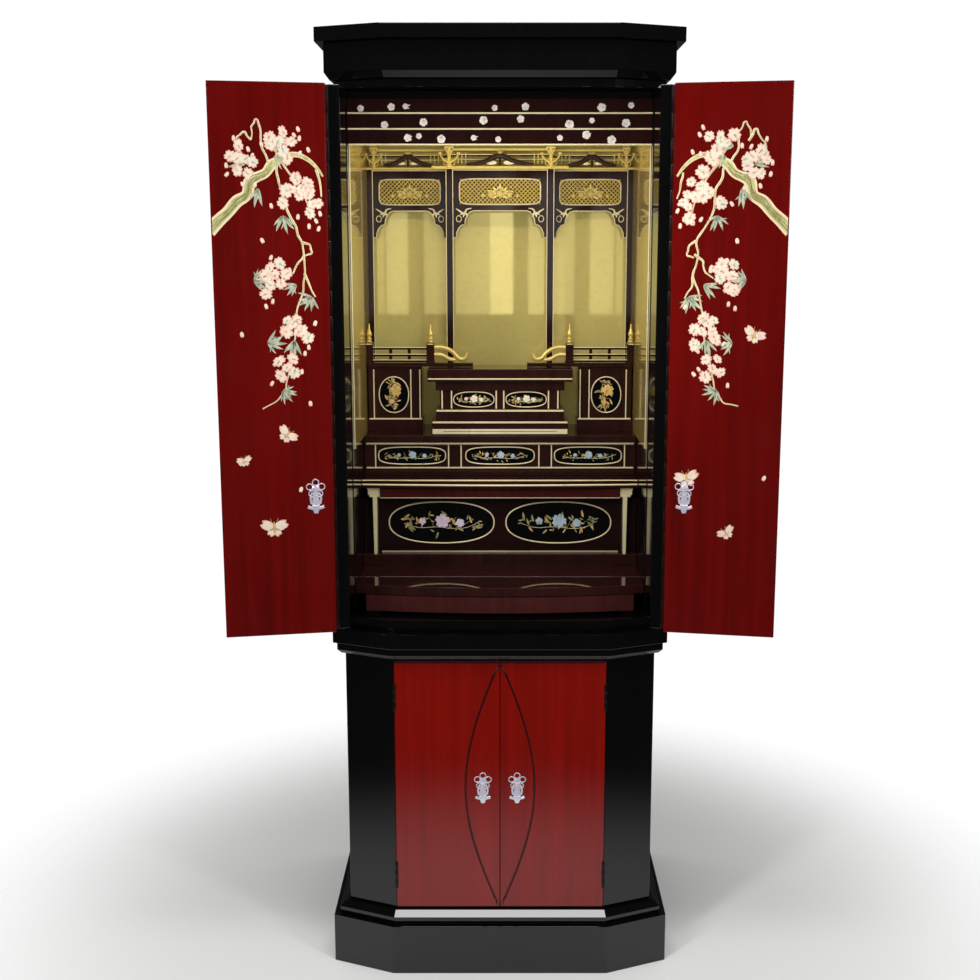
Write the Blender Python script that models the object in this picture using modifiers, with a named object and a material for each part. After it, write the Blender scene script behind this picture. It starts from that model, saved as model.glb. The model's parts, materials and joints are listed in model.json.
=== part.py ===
import math

import bmesh
import bpy
from mathutils import Vector

# Every size is in metres. The cabinet stands on its plinth, faces -Y, and its origin is the
# middle of the plinth's underside. Depths are counted backwards from the plane of the closed doors.

# Plan of the body, with a canted corner at each side of the front
BODY_HALF = 0.279
CANT_RUN = 0.089
CANT_DEPTH = 0.038
DEPTH = 0.470
FRONT_FROM_ORIGIN = 0.225
WALL = 0.019
BACK_THICK = 0.009
GAP = 0.0003
EDGE = 0.001

# Heights of the stacked parts, from the floor up
PLINTH_HEIGHT = 0.0926
BASE_HEIGHT = 0.0221
CUPBOARD_HEIGHT = 0.478
HEAD_RAIL_HEIGHT = 0.007
TIER_HEIGHT = 0.021
WAIST_HEIGHT = 0.028
BOTTOM_BOARD = 0.020
ALTAR_HEIGHT = 0.911
TOP_BOARD = 0.013
FRIEZE_HEIGHT = 0.060
CORNICE_HEIGHT = 0.0235

# How far each moulding stands out from the body
PLINTH_OUT = 0.029
BASE_OUT = 0.018
TIER_OUT = 0.014
WAIST_OUT = 0.021
FRIEZE_OUT = 0.015
CORNICE_OUT = 0.029
PLINTH_WALL = 0.018
PLINTH_FLOOR = 0.012

# Shares of a moulding's step out and of its height at which its profile turns
BASE_STEP_SHARE = 0.4
BASE_LIP_SHARE = 0.55
TIER_FOOT_SHARE = 0.5
TIER_COVE_SHARE = 0.35
FRIEZE_FOOT_SHARE = 0.4
FRIEZE_COVE_SHARE = 0.2

# Doors
LEAF_THICK = 0.020
LEAF_CLEARANCE = 0.002
HINGE_PLAY = 0.0006
FRONT_LEAF_OPEN = math.radians(79.5)
PULL_WIDTH = 0.032
PULL_HEIGHT = 0.059
PULL_THICK = 0.003
PULL_LOBES = 0.16
UPPER_PULL_FROM_FOLD = 0.034
UPPER_PULL_RISE = 0.235
LOWER_PULL_FROM_MEETING = 0.031
LOWER_PULL_RISE = 0.231

# Pull-out offering board
BOARD_RISE = 0.006
BOARD_FRONT_HEIGHT = 0.028
BOARD_THICK = 0.012
BOARD_SIDE_CLEARANCE = 0.0187
BOARD_FRONT = 0.024
BOARD_BOW = 0.022
BOARD_LENGTH = 0.330
BOARD_RAIL_DEPTH = 0.018
RUNNER_WIDTH = 0.024

# Altar floor, step and panel board
FLOOR_THICK = 0.016
FLOOR_FRONT = 0.030
FLOOR_BOW = 0.025
STEP_FRONT = 0.200
STEP_DEPTH = 0.036
STEP_HEIGHT = 0.022
PANEL_SETBACK = 0.020
PANEL_THICK = 0.012
PANEL_HEIGHT = 0.105

# Shelf and its posts
POST_WIDTH = 0.012
POST_DEPTH = 0.008
POST_INSET = 0.013
BLOCK_WIDTH = 0.027
BLOCK_DEPTH = 0.020
BLOCK_HEIGHT = 0.022
SHELF_GAP = 0.024
SHELF_THICK = 0.014
SHELF_FRONT = 0.186
SHELF_BOW = 0.010
APRON_HEIGHT = 0.020
APRON_THICK = 0.010
APRON_SETBACK = 0.012

# Three-oval tier
TIER_FRONT = 0.250
TIER_BOARD = 0.012
TIER_PANEL_HEIGHT = 0.062
TIER_TOP_THICK = 0.0157
TIER_TOP_OUT = 0.006

# Central pedestal: half width, setback from the tier's face, rise of its top
PEDESTAL_BASE_HALF = 0.130
PEDESTAL_STEP_HALF = 0.1225
PEDESTAL_WAIST_HALF = 0.115
PEDESTAL_COVE_HALF = 0.123
PEDESTAL_TOP_HALF = 0.138
PEDESTAL_DEPTH = 0.092
PEDESTAL_BASE_RISE = 0.026
PEDESTAL_STEP_RISE = 0.048
PEDESTAL_WAIST_RISE = 0.089
PEDESTAL_COVE_RISE = 0.106
PEDESTAL_TOP_RISE = 0.126
PEDESTAL_LAP = 0.004
PEDESTAL_DEPTH_SHARE = 0.4

# Side boxes and railings
BOX_FRONT = 0.300
BOX_CLEARANCE = 0.013
BOX_DEPTH = 0.066
BOX_PLINTH_RISE = 0.024
BOX_RISE = 0.127
BOX_TOP_THICK = 0.007
BOX_PLINTH_OUT = 0.002
BOX_TOP_OUT = 0.005
RAIL_SILL_INNER = 0.052
RAIL_SILL_DEPTH = 0.024
RAIL_SILL_OUT = 0.001
RAIL_POST = 0.015
INNER_POST = 0.134
RAIL_POST_HEIGHT = 0.038
RAIL_BAR_HEIGHT = 0.005
RAIL_BAR_DEPTH = 0.007
RAIL_LAP = 0.003
RAIL_RISES = (0.0005, 0.0115, 0.0245)
RAIL_END_RADIUS = 0.0032
UPPER_RAIL_END = ((0.128, 0.0285), (0.1, 0.027), (0.084, 0.0165), (0.072, 0.0062), (0.0635, 0.0195))
LOWER_RAIL_END = ((0.128, 0.0145), (0.104, 0.014), (0.086, 0.005))
FINIAL_HEIGHT = 0.037
FINIAL_RADIUS = 0.0062

# Three-bay screen
OUTER_SCREEN = 0.374
CENTRE_FORWARD = 0.030
PILLAR_WIDTH = 0.012
INNER_PILLAR = 0.097
HEADER_THICK = 0.008
HEADER_SETBACK = 0.002
HEADER_HEIGHT = 0.078
WINDOW_RISE = 0.012
WINDOW_HEIGHT = 0.048
WINDOW_INSET = 0.013
BRACKET_DROP = 0.051
BRACKET_REACH = 0.040
BRACKET_TIP = 0.006
BRACKET_CUSPS = 2
LINTEL_HEIGHT = 0.006
LINTEL_DEPTH = 0.016
LINTEL_OUT = 0.004
BRACKET_RAIL_RISE = 0.019
BRACKET_RAIL_HEIGHT = 0.005
BRACKET_RAIL_DEPTH = 0.008
BRACKET_FRIEZE_HEIGHT = 0.0423
CLUSTER_WIDTH = 0.014
CLUSTER_DEPTH = 0.012
CLUSTER_FOOT = 0.002

# Gold lining and the slats under the top
GOLD_BACK = 0.410
GOLD_THICK = 0.004
CEILING_DROP = 0.073
CEILING_THICK = 0.006
CEILING_FRONT = 0.075
HEAD_RAIL_FRONT = 0.056
HEAD_RAIL_DEPTH = 0.020
HEAD_RAIL_DROP = 0.0125
SLAT_HEIGHT = 0.0255
SLAT_THICK = 0.009
SLAT_COUNT = 3
SLAT_STEP_BACK = 0.002

FRONT = -FRONT_FROM_ORIGIN
FRONT_HALF = BODY_HALF - CANT_RUN
CANT_ANGLE = math.atan2(CANT_DEPTH, CANT_RUN)
CANT_LENGTH = math.hypot(CANT_RUN, CANT_DEPTH)
INNER_HALF = BODY_HALF - WALL - GAP
BOARD_HALF = INNER_HALF - BOARD_SIDE_CLEARANCE
BACK_FACE = DEPTH - BACK_THICK
SIDES = {"left": -1, "right": 1}

BASE_Z = PLINTH_HEIGHT + GAP
CUPBOARD_Z = BASE_Z + BASE_HEIGHT + GAP
TIER_Z = CUPBOARD_Z + CUPBOARD_HEIGHT + GAP
BOTTOM_Z = TIER_Z + TIER_HEIGHT + WAIST_HEIGHT + GAP
ALTAR_Z = BOTTOM_Z + BOTTOM_BOARD + GAP
TOP_Z = ALTAR_Z + ALTAR_HEIGHT + GAP
FRIEZE_Z = TOP_Z + TOP_BOARD + GAP
CORNICE_Z = FRIEZE_Z + FRIEZE_HEIGHT + GAP
BOARD_Z = ALTAR_Z + BOARD_RISE
FLOOR_Z = BOARD_Z + BOARD_FRONT_HEIGHT + 3 * GAP
STEP_Z = FLOOR_Z + FLOOR_THICK + GAP
PANEL_Z = STEP_Z + STEP_HEIGHT + GAP
SHELF_Z = PANEL_Z + PANEL_HEIGHT + SHELF_GAP
TIER_PANEL_Z = SHELF_Z + SHELF_THICK + GAP
TIER_TOP_Z = TIER_PANEL_Z + TIER_PANEL_HEIGHT + GAP
DECK_Z = TIER_TOP_Z + TIER_TOP_THICK + GAP
BOX_TOP_Z = DECK_Z + BOX_RISE
RAILING_Z = BOX_TOP_Z + BOX_TOP_THICK + GAP
CEILING_Z = ALTAR_Z + ALTAR_HEIGHT - CEILING_DROP
SCREEN_TOP_Z = CEILING_Z - BRACKET_FRIEZE_HEIGHT - 2 * GAP

FINISHES = {
    "black_lacquer": ((0.012, 0.011, 0.012), 0.16, 0.0),
    "dark_wood": ((0.055, 0.018, 0.014), 0.3, 0.0),
    "red_lacquer": ((0.15, 0.006, 0.004), 0.22, 0.0),
    "bright_red_lacquer": ((0.24, 0.012, 0.005), 0.22, 0.0),
    "gold_leaf": ((0.66, 0.5, 0.2), 0.32, 1.0),
    "cream_gilt": ((0.75, 0.62, 0.4), 0.35, 0.6),
    "brown_slat": ((0.09, 0.035, 0.016), 0.35, 0.0),
    "silver_metal": ((0.6, 0.58, 0.62), 0.3, 1.0),
}


def clear_scene():
    for obj in list(bpy.data.objects):
        bpy.data.objects.remove(obj, do_unlink=True)


def new_collection(name, hidden=False):
    collection = bpy.data.collections.new(name)
    bpy.context.scene.collection.children.link(collection)
    collection.hide_render = hidden
    return collection


def make_material(name):
    colour, roughness, metallic = FINISHES[name]
    material = bpy.data.materials.new(name)
    material.use_nodes = True
    shader = material.node_tree.nodes["Principled BSDF"]
    shader.inputs["Base Color"].default_value = (*colour, 1)
    shader.inputs["Roughness"].default_value = roughness
    shader.inputs["Metallic"].default_value = metallic
    material.diffuse_color = (*colour, 1)
    return material


def add_object(name, mesh, finish, location=(0, 0, 0)):
    obj = bpy.data.objects.new(name, mesh)
    obj.location = location
    mesh.materials.append(materials[finish])
    parts.objects.link(obj)
    return obj


def soften(obj, width=EDGE, segments=2):
    """Slightly rounded edges on a finished shape."""
    bevel = obj.modifiers.new("soft edges", "BEVEL")
    bevel.width = width
    bevel.segments = segments
    bevel.limit_method = "ANGLE"
    bevel.angle_limit = math.radians(30)
    return obj


def block(name, finish, x, y, z, origin=None, soft=True):
    """A board or block between three pairs of limits; y is a depth behind the closed doors."""
    low = Vector((x[0], FRONT + y[0], z[0]))
    high = Vector((x[1], FRONT + y[1], z[1]))
    middle = (low + high) / 2
    place = middle if origin is None else Vector(origin)
    mesh = bpy.data.meshes.new(name)
    shape = bmesh.new()
    bmesh.ops.create_cube(shape, size=1)
    bmesh.ops.scale(shape, vec=high - low, verts=shape.verts)
    bmesh.ops.translate(shape, vec=middle - place, verts=shape.verts)
    shape.to_mesh(mesh)
    shape.free()
    obj = add_object(name, mesh, finish, place)
    return soften(obj) if soft else obj


def curve_outline(name, outlines, thickness):
    """A flat 2D curve with one or more closed outlines, filled and extruded about its plane."""
    curve = bpy.data.curves.new(name, "CURVE")
    curve.dimensions = "2D"
    curve.fill_mode = "BOTH"
    curve.extrude = thickness / 2
    for outline in outlines:
        spline = curve.splines.new("POLY")
        spline.points.add(len(outline) - 1)
        for point, (x, y) in zip(spline.points, outline):
            point.co = (x, y, 0, 1)
        spline.use_cyclic_u = True
    return bpy.data.objects.new(name, curve)


def mesh_of_curve(curve_object, name):
    """The welded mesh of a curve object, which is then removed."""
    parts.objects.link(curve_object)
    bpy.context.view_layer.update()
    graph = bpy.context.evaluated_depsgraph_get()
    mesh = bpy.data.meshes.new_from_object(curve_object.evaluated_get(graph))
    mesh.name = name
    shape = bmesh.new()
    shape.from_mesh(mesh)
    bmesh.ops.remove_doubles(shape, verts=shape.verts, dist=1e-6)
    bmesh.ops.dissolve_limit(shape, angle_limit=0.001, verts=shape.verts, edges=shape.edges)
    bmesh.ops.recalc_face_normals(shape, faces=shape.faces)
    shape.to_mesh(mesh)
    shape.free()
    curve = curve_object.data
    bpy.data.objects.remove(curve_object, do_unlink=True)
    bpy.data.curves.remove(curve)
    mesh.materials.clear()
    return mesh


def plan_board(name, finish, outline, z, soft=True):
    """A board with a plan outline, between two heights."""
    mesh = mesh_of_curve(curve_outline(name, [outline], z[1] - z[0]), name)
    obj = add_object(name, mesh, finish, (0, FRONT, (z[0] + z[1]) / 2))
    return soften(obj) if soft else obj


def upright_board(name, finish, outlines, y):
    """A board with an outline in the plane of X and Z, between two depths."""
    mesh = mesh_of_curve(curve_outline(name, outlines, y[1] - y[0]), name)
    obj = add_object(name, mesh, finish, (0, FRONT + (y[0] + y[1]) / 2, 0))
    obj.rotation_euler.x = math.pi / 2
    return obj


def join(base, *others):
    """Boolean union of a shape with others that overlap it."""
    for other in others:
        parts.objects.unlink(other)
        cutters.objects.link(other)
        other.hide_render = True
        other.display_type = "WIRE"
        union = base.modifiers.new("join " + other.name, "BOOLEAN")
        union.operation = "UNION"
        union.solver = "EXACT"
        union.object = other
    return base


def corner_side(out):
    """Right corner between side and cant, on an outline moved outwards; x and depth."""
    drop = out * (1 - math.sin(CANT_ANGLE)) / math.cos(CANT_ANGLE)
    return BODY_HALF + out, CANT_DEPTH - drop


def corner_front(out):
    """Right corner between cant and front, on an outline moved outwards; x and depth."""
    return FRONT_HALF + out * math.tan(CANT_ANGLE / 2), -out


def plan(out=0.0, back=DEPTH):
    """Plan outline of the cabinet moved outwards all round except at the back."""
    side = corner_side(out)
    front = corner_front(out)
    right = [front, side, (side[0], back)]
    left = [(-x, y) for x, y in reversed(right)]
    return right + left


def bowed(half, front, bow, back, steps=8):
    """Plan outline with a straight back and a front that curves back towards both ends."""
    across = [half * (2 * i / steps - 1) for i in range(steps + 1)]
    arc = [(x, front + bow * (x / half) ** 2) for x in across]
    return arc + [(half, back), (-half, back)]


def make_moulding(name, finish, levels):
    """A slab with the cabinet's outline whose outward step changes with height, lofted level by level."""
    mesh = bpy.data.meshes.new(name)
    shape = bmesh.new()
    rings = []
    for out, z in levels:
        rings.append([shape.verts.new((x, y, z)) for x, y in plan(out)])
    for lower, upper in zip(rings, rings[1:]):
        for i in range(len(lower)):
            j = (i + 1) % len(lower)
            shape.faces.new((lower[i], lower[j], upper[j], upper[i]))
    shape.faces.new(list(reversed(rings[0])))
    shape.faces.new(rings[-1])
    bmesh.ops.recalc_face_normals(shape, faces=shape.faces)
    shape.to_mesh(mesh)
    shape.free()
    return soften(add_object(name, mesh, finish, (0, FRONT, 0)))


def make_plinth():
    body = plan_board("plinth", "black_lacquer", plan(PLINTH_OUT), (0, PLINTH_HEIGHT), soft=False)
    inside = plan(PLINTH_OUT - PLINTH_WALL, DEPTH - PLINTH_WALL)
    hollow = (PLINTH_FLOOR, PLINTH_HEIGHT + PLINTH_WALL)
    cutter = plan_board("plinth_hollow", "black_lacquer", inside, hollow, soft=False)
    parts.objects.unlink(cutter)
    cutters.objects.link(cutter)
    cutter.hide_render = True
    cutter.display_type = "WIRE"
    cut = body.modifiers.new("hollow", "BOOLEAN")
    cut.operation = "DIFFERENCE"
    cut.solver = "EXACT"
    cut.object = cutter
    soften(body)


def make_mouldings():
    base_top = BASE_Z + BASE_HEIGHT
    step_out = BASE_OUT * BASE_STEP_SHARE
    make_moulding("base_moulding", "black_lacquer", [
        (BASE_OUT, BASE_Z),
        (BASE_OUT, BASE_Z + BASE_HEIGHT * BASE_LIP_SHARE),
        (step_out, base_top - GAP),
        (step_out, base_top),
    ])
    tier_top = TIER_Z + TIER_HEIGHT
    make_moulding("waist_moulding", "black_lacquer", [
        (TIER_OUT * TIER_FOOT_SHARE, TIER_Z),
        (TIER_OUT, TIER_Z + TIER_HEIGHT * TIER_COVE_SHARE),
        (TIER_OUT, tier_top),
        (WAIST_OUT, tier_top + GAP),
        (WAIST_OUT, tier_top + WAIST_HEIGHT),
    ])
    make_moulding("upper_floor", "black_lacquer", [
        (0, BOTTOM_Z),
        (0, BOTTOM_Z + BOTTOM_BOARD),
    ])
    make_moulding("top_board", "black_lacquer", [
        (0, TOP_Z),
        (0, TOP_Z + TOP_BOARD),
    ])
    make_moulding("frieze", "black_lacquer", [
        (FRIEZE_OUT * FRIEZE_FOOT_SHARE, FRIEZE_Z),
        (FRIEZE_OUT, FRIEZE_Z + FRIEZE_HEIGHT * FRIEZE_COVE_SHARE),
        (FRIEZE_OUT, FRIEZE_Z + FRIEZE_HEIGHT),
    ])
    make_moulding("cornice", "black_lacquer", [
        (CORNICE_OUT, CORNICE_Z),
        (CORNICE_OUT, CORNICE_Z + CORNICE_HEIGHT),
    ])


def make_carcass():
    cupboard = (CUPBOARD_Z, CUPBOARD_Z + CUPBOARD_HEIGHT)
    altar = (ALTAR_Z, ALTAR_Z + ALTAR_HEIGHT)
    outer = corner_side(0)
    inner = corner_side(-WALL)
    front = corner_front(0)
    for side, sign in SIDES.items():
        for storey, z in (("lower", cupboard), ("upper", altar)):
            wall = [
                (outer[0], outer[1] + GAP),
                (outer[0], DEPTH),
                (inner[0], DEPTH),
                (inner[0], inner[1] + GAP),
            ]
            wall = [(sign * x, y) for x, y in wall]
            plan_board(f"{side}_{storey}_side", "black_lacquer", wall, z)
        corner = [
            front,
            (outer[0], outer[1] - GAP),
            (inner[0], inner[1] - GAP),
            (front[0], WALL / math.cos(CANT_ANGLE)),
        ]
        corner = [(sign * x, y) for x, y in corner]
        plan_board(f"{side}_lower_corner", "black_lacquer", corner, cupboard)
    for storey, z in (("lower", cupboard), ("upper", altar)):
        block(f"{storey}_back", "dark_wood", (-INNER_HALF, INNER_HALF), (BACK_FACE, DEPTH), z)
    rail_half = FRONT_HALF - GAP
    rail_z = (cupboard[1] - HEAD_RAIL_HEIGHT, cupboard[1])
    block("lower_head_rail", "black_lacquer", (-rail_half, rail_half), (0, LEAF_THICK), rail_z)


def pull_outline(steps=20):
    """A plate outline with five lobes, taller than wide."""
    points = []
    for i in range(steps):
        turn = math.tau * i / steps
        reach = 1 - PULL_LOBES * (1 - math.cos(5 * (turn - math.pi / 2))) / 2
        points.append((PULL_WIDTH / 2 * reach * math.cos(turn), PULL_HEIGHT / 2 * reach * math.sin(turn)))
    return points


def make_pull(name, door, x, y, z):
    """A flat pull plate standing upright on a door's face, placed in the door's own axes."""
    mesh = mesh_of_curve(curve_outline(name, [pull_outline()], PULL_THICK), name)
    plate = add_object(name, mesh, "silver_metal", (x, y, z))
    plate.rotation_euler.x = math.pi / 2
    plate.parent = door
    return plate


def make_lower_doors():
    z0 = CUPBOARD_Z + LEAF_CLEARANCE
    z1 = CUPBOARD_Z + CUPBOARD_HEIGHT - HEAD_RAIL_HEIGHT - LEAF_CLEARANCE
    hinge = FRONT_HALF - HINGE_PLAY
    for side, sign in SIDES.items():
        span = sorted((sign * hinge, sign * HINGE_PLAY))
        door = block(
            f"{side}_lower_door", "bright_red_lacquer", span, (0, LEAF_THICK), (z0, z1),
            origin=(sign * hinge, FRONT, z0),
        )
        across = sign * (LOWER_PULL_FROM_MEETING - hinge)
        face = -PULL_THICK / 2 - GAP
        make_pull(f"{side}_lower_pull", door, across, face, CUPBOARD_Z + LOWER_PULL_RISE - z0)


def leaf_board(name, finish, outline, sign, height):
    """A door leaf with its hinge edge on its own origin; sign turns its thickness to the inside."""
    turned = [(x, -sign * y) for x, y in outline]
    mesh = mesh_of_curve(curve_outline(name, [turned], height), name)
    half_height = Vector((0, 0, height / 2))
    for vertex in mesh.vertices:
        vertex.co += half_height
    return soften(add_object(name, mesh, finish))


def make_upper_doors():
    """Folding leaves, standing open: the canted leaf points forward, the front leaf to the side."""
    z0 = ALTAR_Z + LEAF_CLEARANCE
    height = ALTAR_HEIGHT - 2 * LEAF_CLEARANCE
    wall_mitre = LEAF_THICK * math.tan((math.pi / 2 - CANT_ANGLE) / 2)
    fold_mitre = LEAF_THICK * math.tan(CANT_ANGLE / 2)
    canted = [
        (HINGE_PLAY, 0),
        (CANT_LENGTH - HINGE_PLAY, 0),
        (CANT_LENGTH - HINGE_PLAY - fold_mitre, LEAF_THICK),
        (HINGE_PLAY + wall_mitre, LEAF_THICK),
    ]
    reach = FRONT_HALF - HINGE_PLAY
    front = [
        (HINGE_PLAY, 0),
        (reach, 0),
        (reach, LEAF_THICK),
        (HINGE_PLAY + fold_mitre, LEAF_THICK),
    ]
    for side, sign in SIDES.items():
        first = leaf_board(f"{side}_canted_leaf", "black_lacquer", canted, sign, height)
        first.location = (sign * BODY_HALF, FRONT + CANT_DEPTH, z0)
        first.rotation_euler.z = -math.pi / 2
        second = leaf_board(f"{side}_front_leaf", "red_lacquer", front, sign, height)
        second.location = (sign * BODY_HALF, FRONT + CANT_DEPTH - CANT_LENGTH, z0)
        second.rotation_euler.z = -math.pi / 2 + sign * FRONT_LEAF_OPEN
        face = -sign * (LEAF_THICK + PULL_THICK / 2 + GAP)
        make_pull(f"{side}_upper_pull", second, UPPER_PULL_FROM_FOLD, face, UPPER_PULL_RISE)


def make_offering_board():
    z1 = BOARD_Z + BOARD_FRONT_HEIGHT
    back = BOARD_FRONT + BOARD_LENGTH
    flat = bowed(BOARD_HALF, BOARD_FRONT, BOARD_BOW, back)
    rail = bowed(BOARD_HALF, BOARD_FRONT, BOARD_BOW, BOARD_FRONT + BOARD_BOW + BOARD_RAIL_DEPTH)
    lap = BOARD_THICK / 3
    board = plan_board("offering_board", "dark_wood", flat, (z1 - BOARD_THICK, z1), soft=False)
    skirt = plan_board("offering_board_rail", "dark_wood", rail, (BOARD_Z, z1 - lap), soft=False)
    runners = []
    for side, sign in SIDES.items():
        x = sorted((sign * (BOARD_HALF - GAP), sign * (BOARD_HALF - RUNNER_WIDTH)))
        y = (BOARD_FRONT + BOARD_BOW + BOARD_RAIL_DEPTH / 2, back - GAP)
        z = (ALTAR_Z, z1 - lap)
        runners.append(block(f"{side}_runner", "dark_wood", x, y, z, soft=False))
    soften(join(board, skirt, *runners))


def make_altar_floor():
    z = (FLOOR_Z, FLOOR_Z + FLOOR_THICK)
    outline = bowed(INNER_HALF, FLOOR_FRONT, FLOOR_BOW, GOLD_BACK - GAP)
    plan_board("altar_floor", "dark_wood", outline, z)
    step_z = (STEP_Z, STEP_Z + STEP_HEIGHT)
    step_y = (STEP_FRONT, STEP_FRONT + STEP_DEPTH)
    block("altar_step", "dark_wood", (-INNER_HALF, INNER_HALF), step_y, step_z)
    face = STEP_FRONT + PANEL_SETBACK
    panel_z = (PANEL_Z, PANEL_Z + PANEL_HEIGHT)
    block("oval_panel", "dark_wood", (-INNER_HALF, INNER_HALF), (face, face + PANEL_THICK), panel_z)


def make_shelf():
    face = STEP_FRONT + PANEL_SETBACK - GAP
    top = SHELF_Z - GAP
    for side, sign in SIDES.items():
        outer = INNER_HALF - POST_INSET
        strip = block(
            f"{side}_shelf_post", "cream_gilt", sorted((sign * outer, sign * (outer - POST_WIDTH))),
            (face - POST_DEPTH, face), (PANEL_Z, top - BLOCK_HEIGHT / 2), soft=False,
        )
        middle = outer - POST_WIDTH / 2
        head = block(
            f"{side}_shelf_block", "cream_gilt",
            sorted((sign * (middle - BLOCK_WIDTH / 2), sign * (middle + BLOCK_WIDTH / 2))),
            (face - BLOCK_DEPTH, face - GAP), (top - BLOCK_HEIGHT, top), soft=False,
        )
        soften(join(strip, head))
    outline = bowed(INNER_HALF, SHELF_FRONT, SHELF_BOW, GOLD_BACK - GAP)
    shelf = plan_board("shelf", "dark_wood", outline, (SHELF_Z, SHELF_Z + SHELF_THICK), soft=False)
    apron_half = INNER_HALF - POST_INSET - POST_WIDTH / 2 - BLOCK_WIDTH / 2 - GAP
    apron_front = SHELF_FRONT + APRON_SETBACK
    apron = block(
        "shelf_apron", "dark_wood", (-apron_half, apron_half),
        (apron_front, apron_front + APRON_THICK),
        (SHELF_Z - APRON_HEIGHT, SHELF_Z + SHELF_THICK / 2), soft=False,
    )
    soften(join(shelf, apron))


def make_tier():
    panel_z = (TIER_PANEL_Z, TIER_PANEL_Z + TIER_PANEL_HEIGHT)
    across = (-INNER_HALF, INNER_HALF)
    block("tier_front", "dark_wood", across, (TIER_FRONT, TIER_FRONT + TIER_BOARD), panel_z)
    top_z = (TIER_TOP_Z, TIER_TOP_Z + TIER_TOP_THICK)
    block("tier_top", "dark_wood", across, (TIER_FRONT - TIER_TOP_OUT, GOLD_BACK - GAP), top_z)


def make_pedestal():
    """Stepped central pedestal: base, step, narrow waist, cove and top slab."""
    rises = [
        (PEDESTAL_BASE_HALF, 0, PEDESTAL_BASE_RISE),
        (PEDESTAL_STEP_HALF, PEDESTAL_BASE_RISE, PEDESTAL_STEP_RISE),
        (PEDESTAL_WAIST_HALF, PEDESTAL_STEP_RISE, PEDESTAL_WAIST_RISE),
        (PEDESTAL_COVE_HALF, PEDESTAL_WAIST_RISE, PEDESTAL_COVE_RISE),
        (PEDESTAL_TOP_HALF, PEDESTAL_COVE_RISE, PEDESTAL_TOP_RISE),
    ]
    middle = TIER_FRONT + PEDESTAL_DEPTH / 2
    stages = []
    for number, (half, low, high) in enumerate(rises):
        deep = PEDESTAL_DEPTH / 2 - (PEDESTAL_TOP_HALF - half) * PEDESTAL_DEPTH_SHARE
        low_z = DECK_Z + low - (PEDESTAL_LAP if number else 0)
        stages.append(block(
            f"pedestal_{number}", "dark_wood", (-half, half),
            (middle - deep, middle + deep), (low_z, DECK_Z + high), soft=False,
        ))
    stages[0].name = "pedestal"
    soften(join(*stages))


def make_side_boxes():
    outer = INNER_HALF - BOX_TOP_OUT
    inner = PEDESTAL_TOP_HALF + BOX_CLEARANCE
    back = BOX_FRONT + BOX_DEPTH
    for side, sign in SIDES.items():
        body = block(
            f"{side}_side_box", "dark_wood", sorted((sign * inner, sign * outer)),
            (BOX_FRONT, back), (DECK_Z + BOX_PLINTH_RISE / 2, BOX_TOP_Z + BOX_TOP_THICK / 2), soft=False,
        )
        foot = block(
            f"{side}_box_plinth", "dark_wood",
            sorted((sign * (inner - BOX_PLINTH_OUT), sign * (outer + BOX_PLINTH_OUT))),
            (BOX_FRONT - BOX_PLINTH_OUT, back + BOX_PLINTH_OUT), (DECK_Z, DECK_Z + BOX_PLINTH_RISE), soft=False,
        )
        lid = block(
            f"{side}_box_top", "dark_wood",
            sorted((sign * (inner - BOX_TOP_OUT), sign * INNER_HALF)),
            (BOX_FRONT - BOX_TOP_OUT, back + BOX_TOP_OUT), (BOX_TOP_Z, BOX_TOP_Z + BOX_TOP_THICK), soft=False,
        )
        sill = block(
            f"{side}_rail_sill", "dark_wood", sorted((sign * RAIL_SILL_INNER, sign * (inner + BOX_TOP_OUT))),
            (BOX_FRONT - BOX_TOP_OUT - RAIL_SILL_OUT, BOX_FRONT - BOX_TOP_OUT + RAIL_SILL_DEPTH),
            (BOX_TOP_Z, BOX_TOP_Z + BOX_TOP_THICK), soft=False,
        )
        soften(join(body, foot, lid, sill))


def make_rail_end(name, path, sign, depth):
    """A gilt rail end that leaves the inner post and sweeps down towards the middle."""
    curve = bpy.data.curves.new(name, "CURVE")
    curve.dimensions = "3D"
    curve.resolution_u = 4
    curve.bevel_depth = RAIL_END_RADIUS
    curve.bevel_resolution = 2
    curve.use_fill_caps = True
    spline = curve.splines.new("BEZIER")
    spline.bezier_points.add(len(path) - 1)
    for point, (x, rise) in zip(spline.bezier_points, path):
        point.co = (sign * x, FRONT + depth, RAILING_Z + rise)
        point.handle_left_type = "AUTO"
        point.handle_right_type = "AUTO"
    mesh = mesh_of_curve(bpy.data.objects.new(name, curve), name)
    return add_object(name, mesh, "gold_leaf")


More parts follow.
